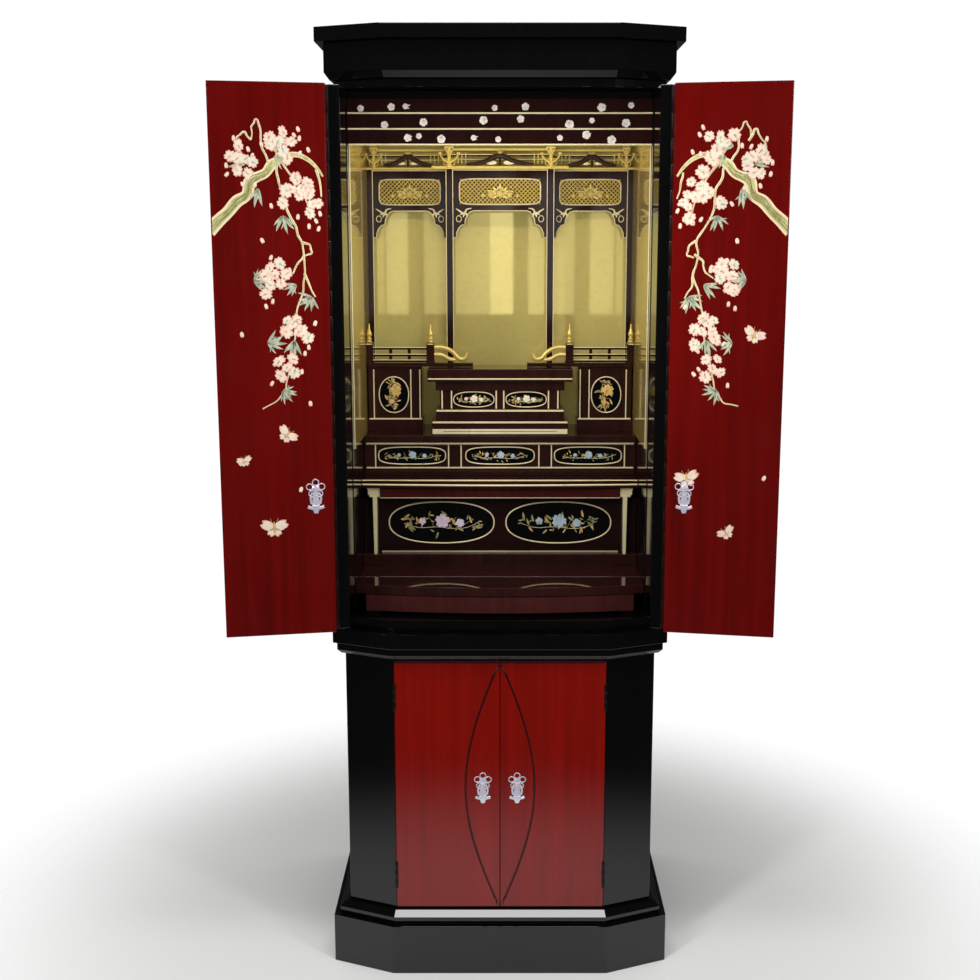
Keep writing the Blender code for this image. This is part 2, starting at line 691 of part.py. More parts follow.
def make_railings():
    front = BOX_FRONT - BOX_TOP_OUT / 2
    depth = (front, front + RAIL_POST)
    bar_depth = (front + (RAIL_POST - RAIL_BAR_DEPTH) / 2, front + (RAIL_POST + RAIL_BAR_DEPTH) / 2)
    outer = INNER_HALF - RAIL_POST / 2 - GAP
    top = RAILING_Z + RAIL_POST_HEIGHT
    for side, sign in SIDES.items():
        posts = []
        for place, x in (("inner", INNER_POST), ("outer", outer)):
            posts.append(block(
                f"{side}_{place}_post", "dark_wood",
                (sign * x - RAIL_POST / 2, sign * x + RAIL_POST / 2), depth, (RAILING_Z, top), soft=False,
            ))
            make_finial(f"{side}_{place}_finial", sign * x, sum(depth) / 2, top + GAP)
        bars = []
        for number, rise in enumerate(RAIL_RISES):
            x = sorted((sign * (INNER_POST + RAIL_POST / 2 - RAIL_LAP), sign * (outer - RAIL_POST / 2 + RAIL_LAP)))
            z = (RAILING_Z + rise, RAILING_Z + rise + RAIL_BAR_HEIGHT)
            bars.append(block(f"{side}_bar_{number}", "gold_leaf", x, bar_depth, z, soft=False))
        ends = [
            make_rail_end(f"{side}_{place}_rail_end", path, sign, sum(depth) / 2)
            for place, path in (("upper", UPPER_RAIL_END), ("lower", LOWER_RAIL_END))
        ]
        posts[0].name = f"{side}_railing"
        join(posts[0], posts[1], *bars, *ends)


def make_finial(name, x, y, z):
    """Turned knob: foot ring, neck, bulb and long point, as a profile spun round the upright axis."""
    shares = [(0, 1), (0.14, 0.86), (0.34, 0.62), (0.62, 0.46), (0.78, 0.34), (0.7, 0.24), (0.55, 0.2)]
    shares += [(0.95, 0.15), (1, 0.08), (0.9, 0), (0, 0)]
    mesh = bpy.data.meshes.new(name)
    shape = bmesh.new()
    ring = [shape.verts.new((r * FINIAL_RADIUS, 0, h * FINIAL_HEIGHT)) for r, h in shares]
    for a, b in zip(ring, ring[1:]):
        shape.edges.new((a, b))
    shape.to_mesh(mesh)
    shape.free()
    obj = add_object(name, mesh, "gold_leaf", (x, FRONT + y, z))
    screw = obj.modifiers.new("turned", "SCREW")
    screw.steps = 12
    screw.render_steps = 12
    screw.use_merge_vertices = True
    screw.merge_threshold = 0.0001
    screw.use_smooth_shade = True
    return obj


def cusped_edge(corner, sign, opening, tip_z):
    """Lower edge of a bracket from a pillar towards the opening, in small concave arcs."""
    points = [(corner, tip_z), (corner + sign * BRACKET_TIP, tip_z)]
    run = (BRACKET_REACH - BRACKET_TIP) / BRACKET_CUSPS
    rise = (opening - tip_z) / BRACKET_CUSPS
    for cusp in range(BRACKET_CUSPS):
        x0 = corner + sign * (BRACKET_TIP + run * cusp)
        z0 = tip_z + rise * cusp
        for i in range(1, 5):
            turn = math.pi / 2 * i / 4
            points.append((x0 + sign * run * (1 - math.cos(turn)), z0 + rise * math.sin(turn)))
    return points


def make_header(name, x0, x1, front):
    """Bay header: a lattice window above, cusped brackets at both pillars below."""
    top = SCREEN_TOP_Z
    opening = top - HEADER_HEIGHT
    tip = opening - BRACKET_DROP
    left_edge = cusped_edge(x0, 1, opening, tip)
    right_edge = cusped_edge(x1, -1, opening, tip)
    outline = [(x0, top)] + left_edge + list(reversed(right_edge)) + [(x1, top)]
    sill = opening + WINDOW_RISE
    window = [
        (x0 + WINDOW_INSET, sill),
        (x1 - WINDOW_INSET, sill),
        (x1 - WINDOW_INSET, sill + WINDOW_HEIGHT),
        (x0 + WINDOW_INSET, sill + WINDOW_HEIGHT),
    ]
    depth = (front + HEADER_SETBACK, front + HEADER_SETBACK + HEADER_THICK)
    upright_board(name, "dark_wood", [outline, window], depth)


def make_screen():
    top = SCREEN_TOP_Z
    inner_front = OUTER_SCREEN - CENTRE_FORWARD
    half = PILLAR_WIDTH / 2
    outer_x = INNER_HALF - half
    for side, sign in SIDES.items():
        for place, x, front in (("outer", outer_x, OUTER_SCREEN), ("inner", INNER_PILLAR, inner_front)):
            span = (sign * x - half, sign * x + half)
            block(f"{side}_{place}_pillar", "dark_wood", span, (front, front + PILLAR_WIDTH), (DECK_Z, top))
    inner_edge = INNER_PILLAR - half - GAP
    make_header("centre_header", -inner_edge, inner_edge, inner_front)
    bay = (INNER_PILLAR + half + GAP, outer_x - half - GAP)
    make_header("right_header", bay[0], bay[1], OUTER_SCREEN)
    make_header("left_header", -bay[1], -bay[0], OUTER_SCREEN)
    make_bracket_frieze(inner_front - LINTEL_OUT, OUTER_SCREEN - LINTEL_OUT, INNER_PILLAR + half)


def stepped_strip(centre_front, side_front, centre_half, thick):
    """Plan outline of a strip along the screen, forward in the middle bay."""
    front = [
        (-INNER_HALF, side_front),
        (-centre_half, side_front),
        (-centre_half, centre_front),
        (centre_half, centre_front),
        (centre_half, side_front),
        (INNER_HALF, side_front),
    ]
    back = [
        (INNER_HALF, side_front + thick),
        (centre_half - thick, side_front + thick),
        (centre_half - thick, centre_front + thick),
        (thick - centre_half, centre_front + thick),
        (thick - centre_half, side_front + thick),
        (-INNER_HALF, side_front + thick),
    ]
    return front + back


def make_bracket_frieze(centre_front, side_front, centre_half):
    """Openwork above the screen: a lintel, a rail and bracket blocks from the lintel to the ceiling."""
    low = SCREEN_TOP_Z + GAP
    high = low + BRACKET_FRIEZE_HEIGHT
    strip = stepped_strip(centre_front, side_front, centre_half, LINTEL_DEPTH)
    lintel = plan_board("bracket_frieze", "gold_leaf", strip, (low, low + LINTEL_HEIGHT), soft=False)
    inset = (LINTEL_DEPTH - BRACKET_RAIL_DEPTH) / 2
    strip = stepped_strip(centre_front + inset, side_front + inset, centre_half - inset, BRACKET_RAIL_DEPTH)
    rail_z = (low + BRACKET_RAIL_RISE, low + BRACKET_RAIL_RISE + BRACKET_RAIL_HEIGHT)
    pieces = [plan_board("bracket_rail", "gold_leaf", strip, rail_z, soft=False)]
    outer = INNER_HALF - CLUSTER_WIDTH
    places = [(x, centre_front) for x in (0, -INNER_PILLAR, INNER_PILLAR)]
    places += [(x, side_front) for x in (-outer, -(outer + INNER_PILLAR) / 2, (outer + INNER_PILLAR) / 2, outer)]
    for number, (x, face) in enumerate(places):
        span = (x - CLUSTER_WIDTH / 2, x + CLUSTER_WIDTH / 2)
        depth = (face + CLUSTER_FOOT, face + CLUSTER_FOOT + CLUSTER_DEPTH)
        z = (low + LINTEL_HEIGHT / 2, high)
        pieces.append(block(f"bracket_block_{number}", "gold_leaf", span, depth, z, soft=False))
    join(lintel, *pieces)


def make_gold_lining():
    across = (-INNER_HALF, INNER_HALF)
    back_z = (FLOOR_Z, ALTAR_Z + ALTAR_HEIGHT)
    block("gold_back", "gold_leaf", across, (GOLD_BACK, GOLD_BACK + GOLD_THICK), back_z)
    ceiling_z = (CEILING_Z, CEILING_Z + CEILING_THICK)
    block("gold_ceiling", "gold_leaf", across, (CEILING_FRONT, GOLD_BACK - GAP), ceiling_z)


def make_slats():
    across = (-INNER_HALF, INNER_HALF)
    top = ALTAR_Z + ALTAR_HEIGHT
    rail_y = (HEAD_RAIL_FRONT, HEAD_RAIL_FRONT + HEAD_RAIL_DEPTH)
    block("head_rail", "black_lacquer", across, rail_y, (top - HEAD_RAIL_DROP, top))
    for number in range(SLAT_COUNT):
        front = HEAD_RAIL_FRONT + SLAT_STEP_BACK * number
        high = top - HEAD_RAIL_DROP - GAP - number * (SLAT_HEIGHT + GAP)
        z = (high - SLAT_HEIGHT, high)
        block(f"slat_{number + 1}", "brown_slat", across, (front, front + SLAT_THICK), z)


clear_scene()
parts = new_collection("household_altar_cabinet")
cutters = new_collection("cutters", hidden=True)
materials = {name: make_material(name) for name in FINISHES}
make_plinth()
make_mouldings()
make_carcass()
make_lower_doors()
make_upper_doors()
make_offering_board()
make_altar_floor()
make_shelf()
make_tier()
make_pedestal()
make_side_boxes()
make_railings()
make_screen()
make_gold_lining()
make_slats()
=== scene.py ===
import json
import math
import random

import bpy
from mathutils import Matrix, Vector


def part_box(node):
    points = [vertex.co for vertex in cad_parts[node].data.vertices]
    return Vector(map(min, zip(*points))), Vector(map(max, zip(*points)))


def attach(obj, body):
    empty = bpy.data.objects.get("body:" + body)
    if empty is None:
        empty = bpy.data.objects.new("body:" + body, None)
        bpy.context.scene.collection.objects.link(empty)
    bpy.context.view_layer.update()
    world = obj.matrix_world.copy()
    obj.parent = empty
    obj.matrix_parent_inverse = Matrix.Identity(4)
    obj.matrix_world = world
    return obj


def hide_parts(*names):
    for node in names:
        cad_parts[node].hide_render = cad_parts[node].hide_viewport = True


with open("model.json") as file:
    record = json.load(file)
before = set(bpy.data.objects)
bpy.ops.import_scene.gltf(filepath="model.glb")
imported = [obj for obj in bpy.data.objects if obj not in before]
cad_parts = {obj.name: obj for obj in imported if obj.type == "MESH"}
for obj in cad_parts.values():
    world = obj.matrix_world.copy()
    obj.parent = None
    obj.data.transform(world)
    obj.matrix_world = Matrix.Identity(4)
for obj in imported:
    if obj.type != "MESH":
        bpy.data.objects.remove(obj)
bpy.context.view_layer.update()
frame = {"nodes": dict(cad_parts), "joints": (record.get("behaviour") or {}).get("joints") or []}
nodes = frame["nodes"]
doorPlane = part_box("left_lower_door")[0].y
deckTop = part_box("tier_top")[1].z
print("frame loaded")


# Small helpers for picking, placing and finishing

def clearPick():
    bpy.ops.object.select_all(action="DESELECT")


def pick(obj, *others):
    clearPick()
    for one in (obj, *others):
        one.select_set(True)
    bpy.context.view_layer.objects.active = obj


def fixInPlace(obj):
    pick(obj)
    bpy.ops.object.transform_apply(location=True, rotation=True, scale=True)


def useModifier(obj, kind, **values):
    pick(obj)
    modifier = obj.modifiers.new("shape", kind)
    for key, value in values.items():
        setattr(modifier, key, value)
    bpy.ops.object.modifier_apply(modifier=modifier.name)


def joinAll(name, parts):
    pick(parts[0], *parts[1:])
    if len(parts) > 1:
        bpy.ops.object.join()
    obj = bpy.context.view_layer.objects.active
    obj.name = name
    obj.data.name = name
    return obj


def editMesh(obj, operator, **values):
    pick(obj)
    bpy.ops.object.mode_set(mode="EDIT")
    bpy.ops.mesh.select_all(action="SELECT")
    operator(**values)
    bpy.ops.object.mode_set(mode="OBJECT")


def faceOutwards(obj):
    editMesh(obj, bpy.ops.mesh.normals_make_consistent, inside=False)


def roundShade(obj, degrees):
    pick(obj)
    bpy.ops.object.shade_smooth_by_angle(angle=math.radians(degrees))


def duplicate(source):
    copy = source.copy()
    copy.data = source.data.copy()
    bpy.context.collection.objects.link(copy)
    return copy


def addObject(name, data):
    obj = bpy.data.objects.new(name, data)
    bpy.context.collection.objects.link(obj)
    return obj


def stamp(source, u, v, turn=0.0, size=1.0, lift=0.0, wide=1.0):
    copy = duplicate(source)
    spin = Matrix.Rotation(turn, 4, "Z")
    grow = Matrix.Diagonal((size, size * wide, 1, 1))
    copy.matrix_world = Matrix.Translation((u, v, lift)) @ spin @ grow
    return copy


def moveBy(obj, place):
    obj.matrix_world = place @ obj.matrix_world
    fixInPlace(obj)
    return obj


def settle(name, parts, place, key, body="cabinet"):
    # the parts become one piece with one finish, and it rides on its body
    obj = moveBy(joinAll(name, parts), place)
    faceOutwards(obj)
    obj.data.materials.clear()
    obj.data.materials.append(finish[key])
    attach(obj, body)
    return obj


def dropSource(*sources):
    for source in sources:
        bpy.data.objects.remove(source, do_unlink=True)


# Face plans: u runs across, v runs up, and the third axis stands out of the face

def faceAt(depth):
    y = doorPlane + depth
    return Matrix(((1, 0, 0, 0), (0, 0, -1, y), (0, 1, 0, 0), (0, 0, 0, 1)))


asModelled = Matrix.Identity(4)
sides = (("left", -1), ("right", 1))


# Plans give points for the right side of their start: sign -1 turns them over to the left
def onSide(sign, points, start=(0, 0)):
    return [(start[0] + sign * u, start[1] + v) for u, v in points]


def bothSides(*values):
    return [sign * value for sign in (-1, 1) for value in values]


def raiseBy(height):
    return Matrix.Translation((0, 0, height))


def bar(x, z, deep, edge=0.0005):
    clearPick()
    middle = ((x[0] + x[1]) / 2, (z[0] + z[1]) / 2, (deep[0] + deep[1]) / 2)
    bpy.ops.mesh.primitive_cube_add(size=1, location=middle)
    obj = bpy.context.object
    obj.scale = (x[1] - x[0], z[1] - z[0], deep[1] - deep[0])
    fixInPlace(obj)
    useModifier(obj, "BEVEL", width=edge, segments=2)
    return obj


def stroke(points, width, tall=None, closed=False, widths=None, smooth=True, sides=2):
    curve = bpy.data.curves.new("stroke", "CURVE")
    curve.dimensions = "3D"
    curve.bevel_depth = width / 2
    curve.bevel_resolution = sides
    curve.resolution_u = 5
    curve.use_fill_caps = True
    spline = curve.splines.new("BEZIER" if smooth else "POLY")
    dots = spline.bezier_points if smooth else spline.points
    dots.add(len(points) - 1)
    for number, dot in enumerate(dots):
        u, v = points[number]
        dot.co = (u, v, 0) if smooth else (u, v, 0, 1)
        dot.radius = widths[number] if widths else 1
        if smooth:
            dot.handle_left_type = "AUTO"
            dot.handle_right_type = "AUTO"
    spline.use_cyclic_u = closed
    pick(addObject("stroke", curve))
    bpy.ops.object.convert(target="MESH")
    obj = bpy.context.object
    obj.scale.z = (tall or width) / width
    fixInPlace(obj)
    roundShade(obj, 60)
    return obj


def ovalPath(u, v, halfWide, halfTall, count, power=1.0):
    path = []
    for number in range(count):
        turn = math.tau * number / count
        c, s = math.cos(turn), math.sin(turn)
        path.append((
            u + halfWide * math.copysign(abs(c) ** power, c),
            v + halfTall * math.copysign(abs(s) ** power, s),
        ))
    return path


# Colours and materials

def tone(r, g, b):
    values = [c / 255 for c in (r, g, b)]
    return tuple(c / 12.92 if c <= 0.04045 else ((c + 0.055) / 1.055) ** 2.4 for c in values) + (1,)


def newGroup(name, inputs):
    group = bpy.data.node_groups.new(name, "ShaderNodeTree")
    for label, kind, value in inputs:
        socket = group.interface.new_socket(label, in_out="INPUT", socket_type=kind)
        socket.default_value = value
    for label, kind in (("Color", "Color"), ("Roughness", "Float"), ("Height", "Float")):
        group.interface.new_socket(label, in_out="OUTPUT", socket_type="NodeSocket" + kind)
    return group, group.nodes.new("NodeGroupInput"), group.nodes.new("NodeGroupOutput")


def noiseNode(group, scale, stretch, detail):
    place = group.nodes.new("ShaderNodeTexCoord")
    turn = group.nodes.new("ShaderNodeMapping")
    turn.inputs["Scale"].default_value = stretch
    noise = group.nodes.new("ShaderNodeTexNoise")
    noise.inputs["Scale"].default_value = scale
    noise.inputs["Detail"].default_value = detail
    group.links.new(place.outputs["Object"], turn.inputs["Vector"])
    group.links.new(turn.outputs["Vector"], noise.inputs["Vector"])
    return noise


def mapNode(group, source, low, high, fromLow=0.3, fromHigh=0.7):
    mapping = group.nodes.new("ShaderNodeMapRange")
    mapping.inputs["From Min"].default_value = fromLow
    mapping.inputs["From Max"].default_value = fromHigh
    for label, value in (("To Min", low), ("To Max", high)):
        if hasattr(value, "default_value"):
            group.links.new(value, mapping.inputs[label])
        else:
            mapping.inputs[label].default_value = value
    group.links.new(source, mapping.inputs["Value"])
    return mapping.outputs["Result"]


def mathNode(group, operation, *values):
    node = group.nodes.new("ShaderNodeMath")
    node.operation = operation
    for socket, value in zip(node.inputs, values):
        if isinstance(value, float):
            socket.default_value = value
        else:
            group.links.new(value, socket)
    return node.outputs["Value"]


def mixColour(group, factor, first, second):
    mix = group.nodes.new("ShaderNodeMix")
    mix.data_type = "RGBA"
    group.links.new(factor, mix.inputs["Factor"])
    group.links.new(first, mix.inputs["A"])
    group.links.new(second, mix.inputs["B"])
    return mix.outputs["Result"]


def closeGroup(group, out, colour, rough, noise):
    group.links.new(colour, out.inputs["Color"])
    group.links.new(rough, out.inputs["Roughness"])
    group.links.new(noise.outputs["Fac"], out.inputs["Height"])
    return group


def makeLacquerGroup():
    group, inn, out = newGroup("polishedLacquer", [
        ("Tone", "NodeSocketColor", (0.02, 0.02, 0.02, 1)),
        ("Grain Tone", "NodeSocketColor", (0.03, 0.03, 0.03, 1)),
        ("Gloss Low", "NodeSocketFloat", 0.05),
        ("Gloss High", "NodeSocketFloat", 0.16),
        ("Grain", "NodeSocketFloat", 1.0),
    ])
    streaks = noiseNode(group, 70, (1, 1, 0.035), 6)
    clouds = noiseNode(group, 5, (1, 1, 0.5), 2)
    hazes = noiseNode(group, 14, (1, 1, 1), 5)
    streakMask = mapNode(group, streaks.outputs["Fac"], 0, 1, 0.35, 0.72)
    cloudMask = mapNode(group, clouds.outputs["Fac"], 0.25, 1)
    shade = mathNode(group, "MULTIPLY", streakMask, cloudMask)
    amount = mathNode(group, "MULTIPLY", shade, inn.outputs["Grain"])
    colour = mixColour(group, amount, inn.outputs["Tone"], inn.outputs["Grain Tone"])
    rough = mapNode(group, hazes.outputs["Fac"], inn.outputs["Gloss Low"], inn.outputs["Gloss High"])
    peel = noiseNode(group, 160, (1, 1, 1), 2)
    return closeGroup(group, out, colour, rough, peel)


def makeFoilGroup():
    group, inn, out = newGroup("leafFoil", [
        ("Tone", "NodeSocketColor", (0.6, 0.5, 0.2, 1)),
        ("Thin Tone", "NodeSocketColor", (0.4, 0.25, 0.08, 1)),
        ("Gloss Low", "NodeSocketFloat", 0.25),
        ("Gloss High", "NodeSocketFloat", 0.4),
        ("Seam", "NodeSocketFloat", 0.5),
    ])
    place = group.nodes.new("ShaderNodeTexCoord")
    turn = group.nodes.new("ShaderNodeMapping")
    turn.inputs["Rotation"].default_value = (math.pi / 2, 0, 0)
    sheets = group.nodes.new("ShaderNodeTexBrick")
    sheets.offset = 0
    sheets.inputs["Scale"].default_value = 1
    sheets.inputs["Brick Width"].default_value = 0.109
    sheets.inputs["Row Height"].default_value = 0.109
    sheets.inputs["Mortar Size"].default_value = 0.0006
    group.links.new(place.outputs["Object"], turn.inputs["Vector"])
    group.links.new(turn.outputs["Vector"], sheets.inputs["Vector"])
    flecks = noiseNode(group, 90, (1, 1, 1), 6)
    clouds = noiseNode(group, 9, (1, 1, 1), 3)
    worn = mapNode(group, flecks.outputs["Fac"], 0, 0.35, 0.5, 0.8)
    seam = mathNode(group, "MULTIPLY_ADD", sheets.outputs["Fac"], inn.outputs["Seam"], worn)
    colour = mixColour(group, seam, inn.outputs["Tone"], inn.outputs["Thin Tone"])
    rough = mapNode(group, clouds.outputs["Fac"], inn.outputs["Gloss Low"], inn.outputs["Gloss High"])
    return closeGroup(group, out, colour, rough, flecks)


def makeShellGroup():
    group, inn, out = newGroup("shellInlay", [
        ("Pale", "NodeSocketColor", (0.8, 0.75, 0.7, 1)),
        ("Tint", "NodeSocketColor", (0.8, 0.5, 0.5, 1)),
        ("Cool Tint", "NodeSocketColor", (0.5, 0.7, 0.6, 1)),
        ("Scale", "NodeSocketFloat", 120),
    ])
    warm = noiseNode(group, 110, (1, 1, 1), 3)
    cool = noiseNode(group, 160, (1.3, 1.3, 0.6), 3)
    group.links.new(inn.outputs["Scale"], warm.inputs["Scale"])
    warmMask = mapNode(group, warm.outputs["Fac"], 0, 1, 0.42, 0.66)
    coolMask = mapNode(group, cool.outputs["Fac"], 0, 1, 0.5, 0.72)
    first = mixColour(group, warmMask, inn.outputs["Pale"], inn.outputs["Tint"])
    second = mixColour(group, coolMask, first, inn.outputs["Cool Tint"])
    return closeGroup(group, out, second, mapNode(group, cool.outputs["Fac"], 0.18, 0.4), warm)


surfaceGroups = {
    "lacquer": makeLacquerGroup(),
    "foil": makeFoilGroup(),
    "shell": makeShellGroup(),
}


def newMaterial(name):
    material = bpy.data.materials.new(name)
    material.use_nodes = True
    return material, material.node_tree, material.node_tree.nodes["Principled BSDF"]


def makeMaterial(name, kind, values, metallic=0.0, coat=0.0, bump=0.02):
    material, tree, shader = newMaterial(name)
    surface = tree.nodes.new("ShaderNodeGroup")
    surface.node_tree = surfaceGroups[kind]
    for label, value in values.items():
        surface.inputs[label].default_value = value
    relief = tree.nodes.new("ShaderNodeBump")
    relief.inputs["Strength"].default_value = bump
    relief.inputs["Distance"].default_value = 0.0003
    tree.links.new(surface.outputs["Color"], shader.inputs["Base Color"])
    tree.links.new(surface.outputs["Roughness"], shader.inputs["Roughness"])
    tree.links.new(surface.outputs["Height"], relief.inputs["Height"])
    tree.links.new(relief.outputs["Normal"], shader.inputs["Normal"])
    shader.inputs["Metallic"].default_value = metallic
    shader.inputs["Coat Weight"].default_value = coat
    shader.inputs["Coat Roughness"].default_value = 0.04
    return material


def lacquer(name, first, second, low, high, grain, coat=0.15):
    return makeMaterial(name, "lacquer", {
        "Tone": tone(*first), "Grain Tone": tone(*second),
        "Gloss Low": low, "Gloss High": high, "Grain": grain,
    }, coat=coat)


def gilt(name, first, second, low, high, seam, metallic):
    return makeMaterial(name, "foil", {
        "Tone": tone(*first), "Thin Tone": tone(*second),
        "Gloss Low": low, "Gloss High": high, "Seam": seam,
    }, metallic=metallic, bump=0.05)


def shell(name, pale, tint, coolTint, scale=120):
    return makeMaterial(name, "shell", {
        "Pale": tone(*pale), "Tint": tone(*tint), "Cool Tint": tone(*coolTint), "Scale": scale,
    }, coat=0.5, bump=0.08)


finish = {
    "black": lacquer("blackLacquer", (5, 5, 6), (10, 9, 9), 0.05, 0.13, 0.6),
    "plainBlack": lacquer("plainBackLacquer", (20, 18, 18), (36, 30, 26), 0.3, 0.5, 1.0, 0.0),
    "mouldingBlack": lacquer("mouldingLacquer", (5, 5, 6), (10, 9, 9), 0.02, 0.06, 0.6, 0.3),
    "doorRed": lacquer("doorRedLacquer", (96, 6, 4), (70, 4, 3), 0.06, 0.16, 0.9),
    "cupboardRed": lacquer("cupboardRedLacquer", (126, 13, 5), (98, 7, 4), 0.05, 0.13, 0.9),
    "wine": lacquer("wineLacquer", (42, 19, 16), (23, 10, 8), 0.06, 0.16, 0.9),
    "screenWine": lacquer("screenLacquer", (34, 14, 12), (18, 8, 7), 0.1, 0.2, 0.9, 0.0),
    "floorWine": lacquer("altarFloorLacquer", (46, 20, 18), (28, 12, 10), 0.015, 0.05, 0.9, 0.3),
    "darkWine": lacquer("darkWineLacquer", (30, 12, 11), (17, 7, 7), 0.06, 0.14, 0.9),
    "slatBrown": lacquer("slatBrownLacquer", (34, 12, 10), (20, 7, 6), 0.08, 0.18, 0.9),
    # darker red for the cut faces of the door's lens groove: painted shade in the recess
    "grooveShadeRed": lacquer("doorGrooveShadeLacquer", (58, 5, 3), (40, 3, 2), 0.1, 0.2, 0.5),
    "boardRed": lacquer("offeringBoardLacquer", (66, 28, 26), (46, 18, 16), 0.06, 0.15, 0.9),
    "apronRed": lacquer("apronRedLacquer", (66, 20, 17), (44, 13, 11), 0.08, 0.18, 0.9),
    "wallGold": gilt("wallGoldLeaf", (222, 206, 126), (202, 180, 92), 0.045, 0.08, 0.15, 0.35),
    # a darker copy of the back's gold leaf for the inner side walls: painted shade
    "shadedSideGold": gilt("shadedSideGoldLeaf", (186, 162, 88), (156, 128, 56), 0.06, 0.12, 0.15, 0.4),
    "carvedGold": gilt("carvedGilt", (220, 196, 110), (160, 124, 48), 0.25, 0.4, 0.0, 0.35),
    "shadeGold": gilt("latticeShadowGilt", (92, 72, 26), (58, 42, 14), 0.4, 0.6, 0.0, 0.3),
    "lineGold": gilt("giltLine", (230, 216, 172), (200, 176, 122), 0.24, 0.38, 0.0, 0.25),
    "brightGold": gilt("brightGiltMetal", (232, 206, 118), (196, 154, 64), 0.16, 0.28, 0.0, 0.5),
    "silver": gilt("softSilver", (226, 222, 236), (176, 164, 190), 0.14, 0.28, 0.0, 0.45),
    "hingeDark": gilt("darkHingeMetal", (44, 40, 38), (26, 22, 20), 0.25, 0.4, 0.0, 0.8),
    "petal": shell("petalShell", (230, 212, 194), (226, 190, 174), (212, 214, 194)),
    "coolPetal": shell("petalCoolShell", (216, 218, 200), (226, 206, 192), (182, 196, 178)),
    "petalRim": shell("petalRimPink", (224, 178, 158), (208, 142, 124), (224, 198, 172)),
    "slatPetal": shell("slatPetalShell", (218, 208, 200), (204, 178, 170), (186, 194, 184)),
    "leafGreen": shell("leafGreyGreen", (158, 166, 142), (196, 196, 170), (116, 132, 116)),
    "branch": shell("branchCream", (188, 184, 126), (160, 154, 94), (196, 198, 148), 60),
    "branchEdge": shell("branchEdgeCream", (232, 214, 172), (226, 196, 158), (224, 216, 176), 60),
    "bark": shell("barkOlive", (132, 128, 78), (112, 96, 56), (150, 150, 100), 90),
    "heart": shell("heartYellow", (206, 176, 104), (190, 140, 76), (216, 192, 140)),
    "pearlBlue": shell("pearlBlue", (158, 190, 192), (204, 188, 210), (92, 142, 146), 300),
    "pearlRose": shell("pearlRose", (212, 184, 208), (236, 216, 220), (160, 190, 206), 300),
    "pearlGold": shell("pearlGold", (204, 158, 84), (230, 196, 132), (150, 128, 66), 260),
    "leafPearl": shell("leafPearl", (146, 140, 92), (186, 164, 108), (84, 106, 88), 260),
}
print("materials ready")


# The carried-over parts take their own finishes

nodeFinish = {
    "black": ["left_lower_side", "right_lower_side", "left_lower_corner", "right_lower_corner",
              "lower_head_rail", "upper_floor", "left_upper_side", "right_upper_side", "top_board",
              "left_canted_leaf", "right_canted_leaf", "head_rail"],
    "mouldingBlack": ["plinth", "base_moulding", "waist_moulding", "frieze", "cornice"],
    "plainBlack": ["lower_back", "upper_back"],
    "doorRed": ["left_front_leaf", "right_front_leaf"],
    "darkWine": ["oval_panel"],
    "boardRed": ["offering_board"],
    "floorWine": ["altar_floor"],
    "wine": ["altar_step", "tier_front", "tier_top",
             "pedestal", "left_side_box", "right_side_box", "shelf"],
    "screenWine": ["left_outer_pillar", "right_outer_pillar", "left_inner_pillar", "right_inner_pillar",
                   "centre_header", "left_header", "right_header"],
    "slatBrown": ["slat_1", "slat_2", "slat_3"],
    "wallGold": ["gold_back", "gold_ceiling"],
    "lineGold": ["left_shelf_post", "right_shelf_post"],
    "brightGold": ["left_inner_finial", "left_outer_finial", "right_inner_finial", "right_outer_finial"],
}
for key, names in nodeFinish.items():
    for name in names:
        if not nodes[name].material_slots:
            pick(nodes[name])
            bpy.ops.object.material_slot_add()
        for slot in nodes[name].material_slots:
            slot.material = finish[key]
print("carried-over parts finished")


# Flower work, modelled once each and copied

def modelPetal():
    clearPick()
    bpy.ops.mesh.primitive_circle_add(vertices=12, radius=0.3, fill_type="NGON", location=(0.34, 0, 0))
    petal = bpy.context.object
    petal.scale = (1.15, 0.92, 1)
    fixInPlace(petal)
    tip = max(petal.data.vertices, key=lambda v: v.co.x)
    foot = min(petal.data.vertices, key=lambda v: v.co.x)
    tip.co.x -= 0.13  # the small notch of a cherry petal
    foot.co.x = 0.02
    useModifier(petal, "SOLIDIFY", thickness=0.00035, offset=1)
    return petal


def modelBlossom(petal, count):
    parts = [stamp(petal, 0, 0, math.tau * n / count, 1, 0.00006 * (n % 2)) for n in range(count)]
    return joinAll("blossomSource", parts)


def modelLeaf():
    clearPick()
    bpy.ops.mesh.primitive_circle_add(vertices=10, radius=0.5, fill_type="NGON", location=(0.5, 0, 0))
    leaf = bpy.context.object
    leaf.scale = (1, 0.34, 1)
    leaf.location = (0.5, 0, 0)
    fixInPlace(leaf)
    tip = max(leaf.data.vertices, key=lambda v: v.co.x)
    tip.co.x += 0.18
    useModifier(leaf, "SOLIDIFY", thickness=0.0003, offset=1)
    return leaf


def modelHeart():
    clearPick()
    bpy.ops.mesh.primitive_uv_sphere_add(segments=8, ring_count=5, radius=0.12)
    heart = bpy.context.object
    heart.scale = (1, 1, 0.004)
    fixInPlace(heart)
    return heart


petalSource = modelPetal()
blossomSource = modelBlossom(petalSource, 5)
leafSource = modelLeaf()
heartSource = modelHeart()


# Inlaid picture on each folding leaf: across runs from the fold to the free edge, drop from the top

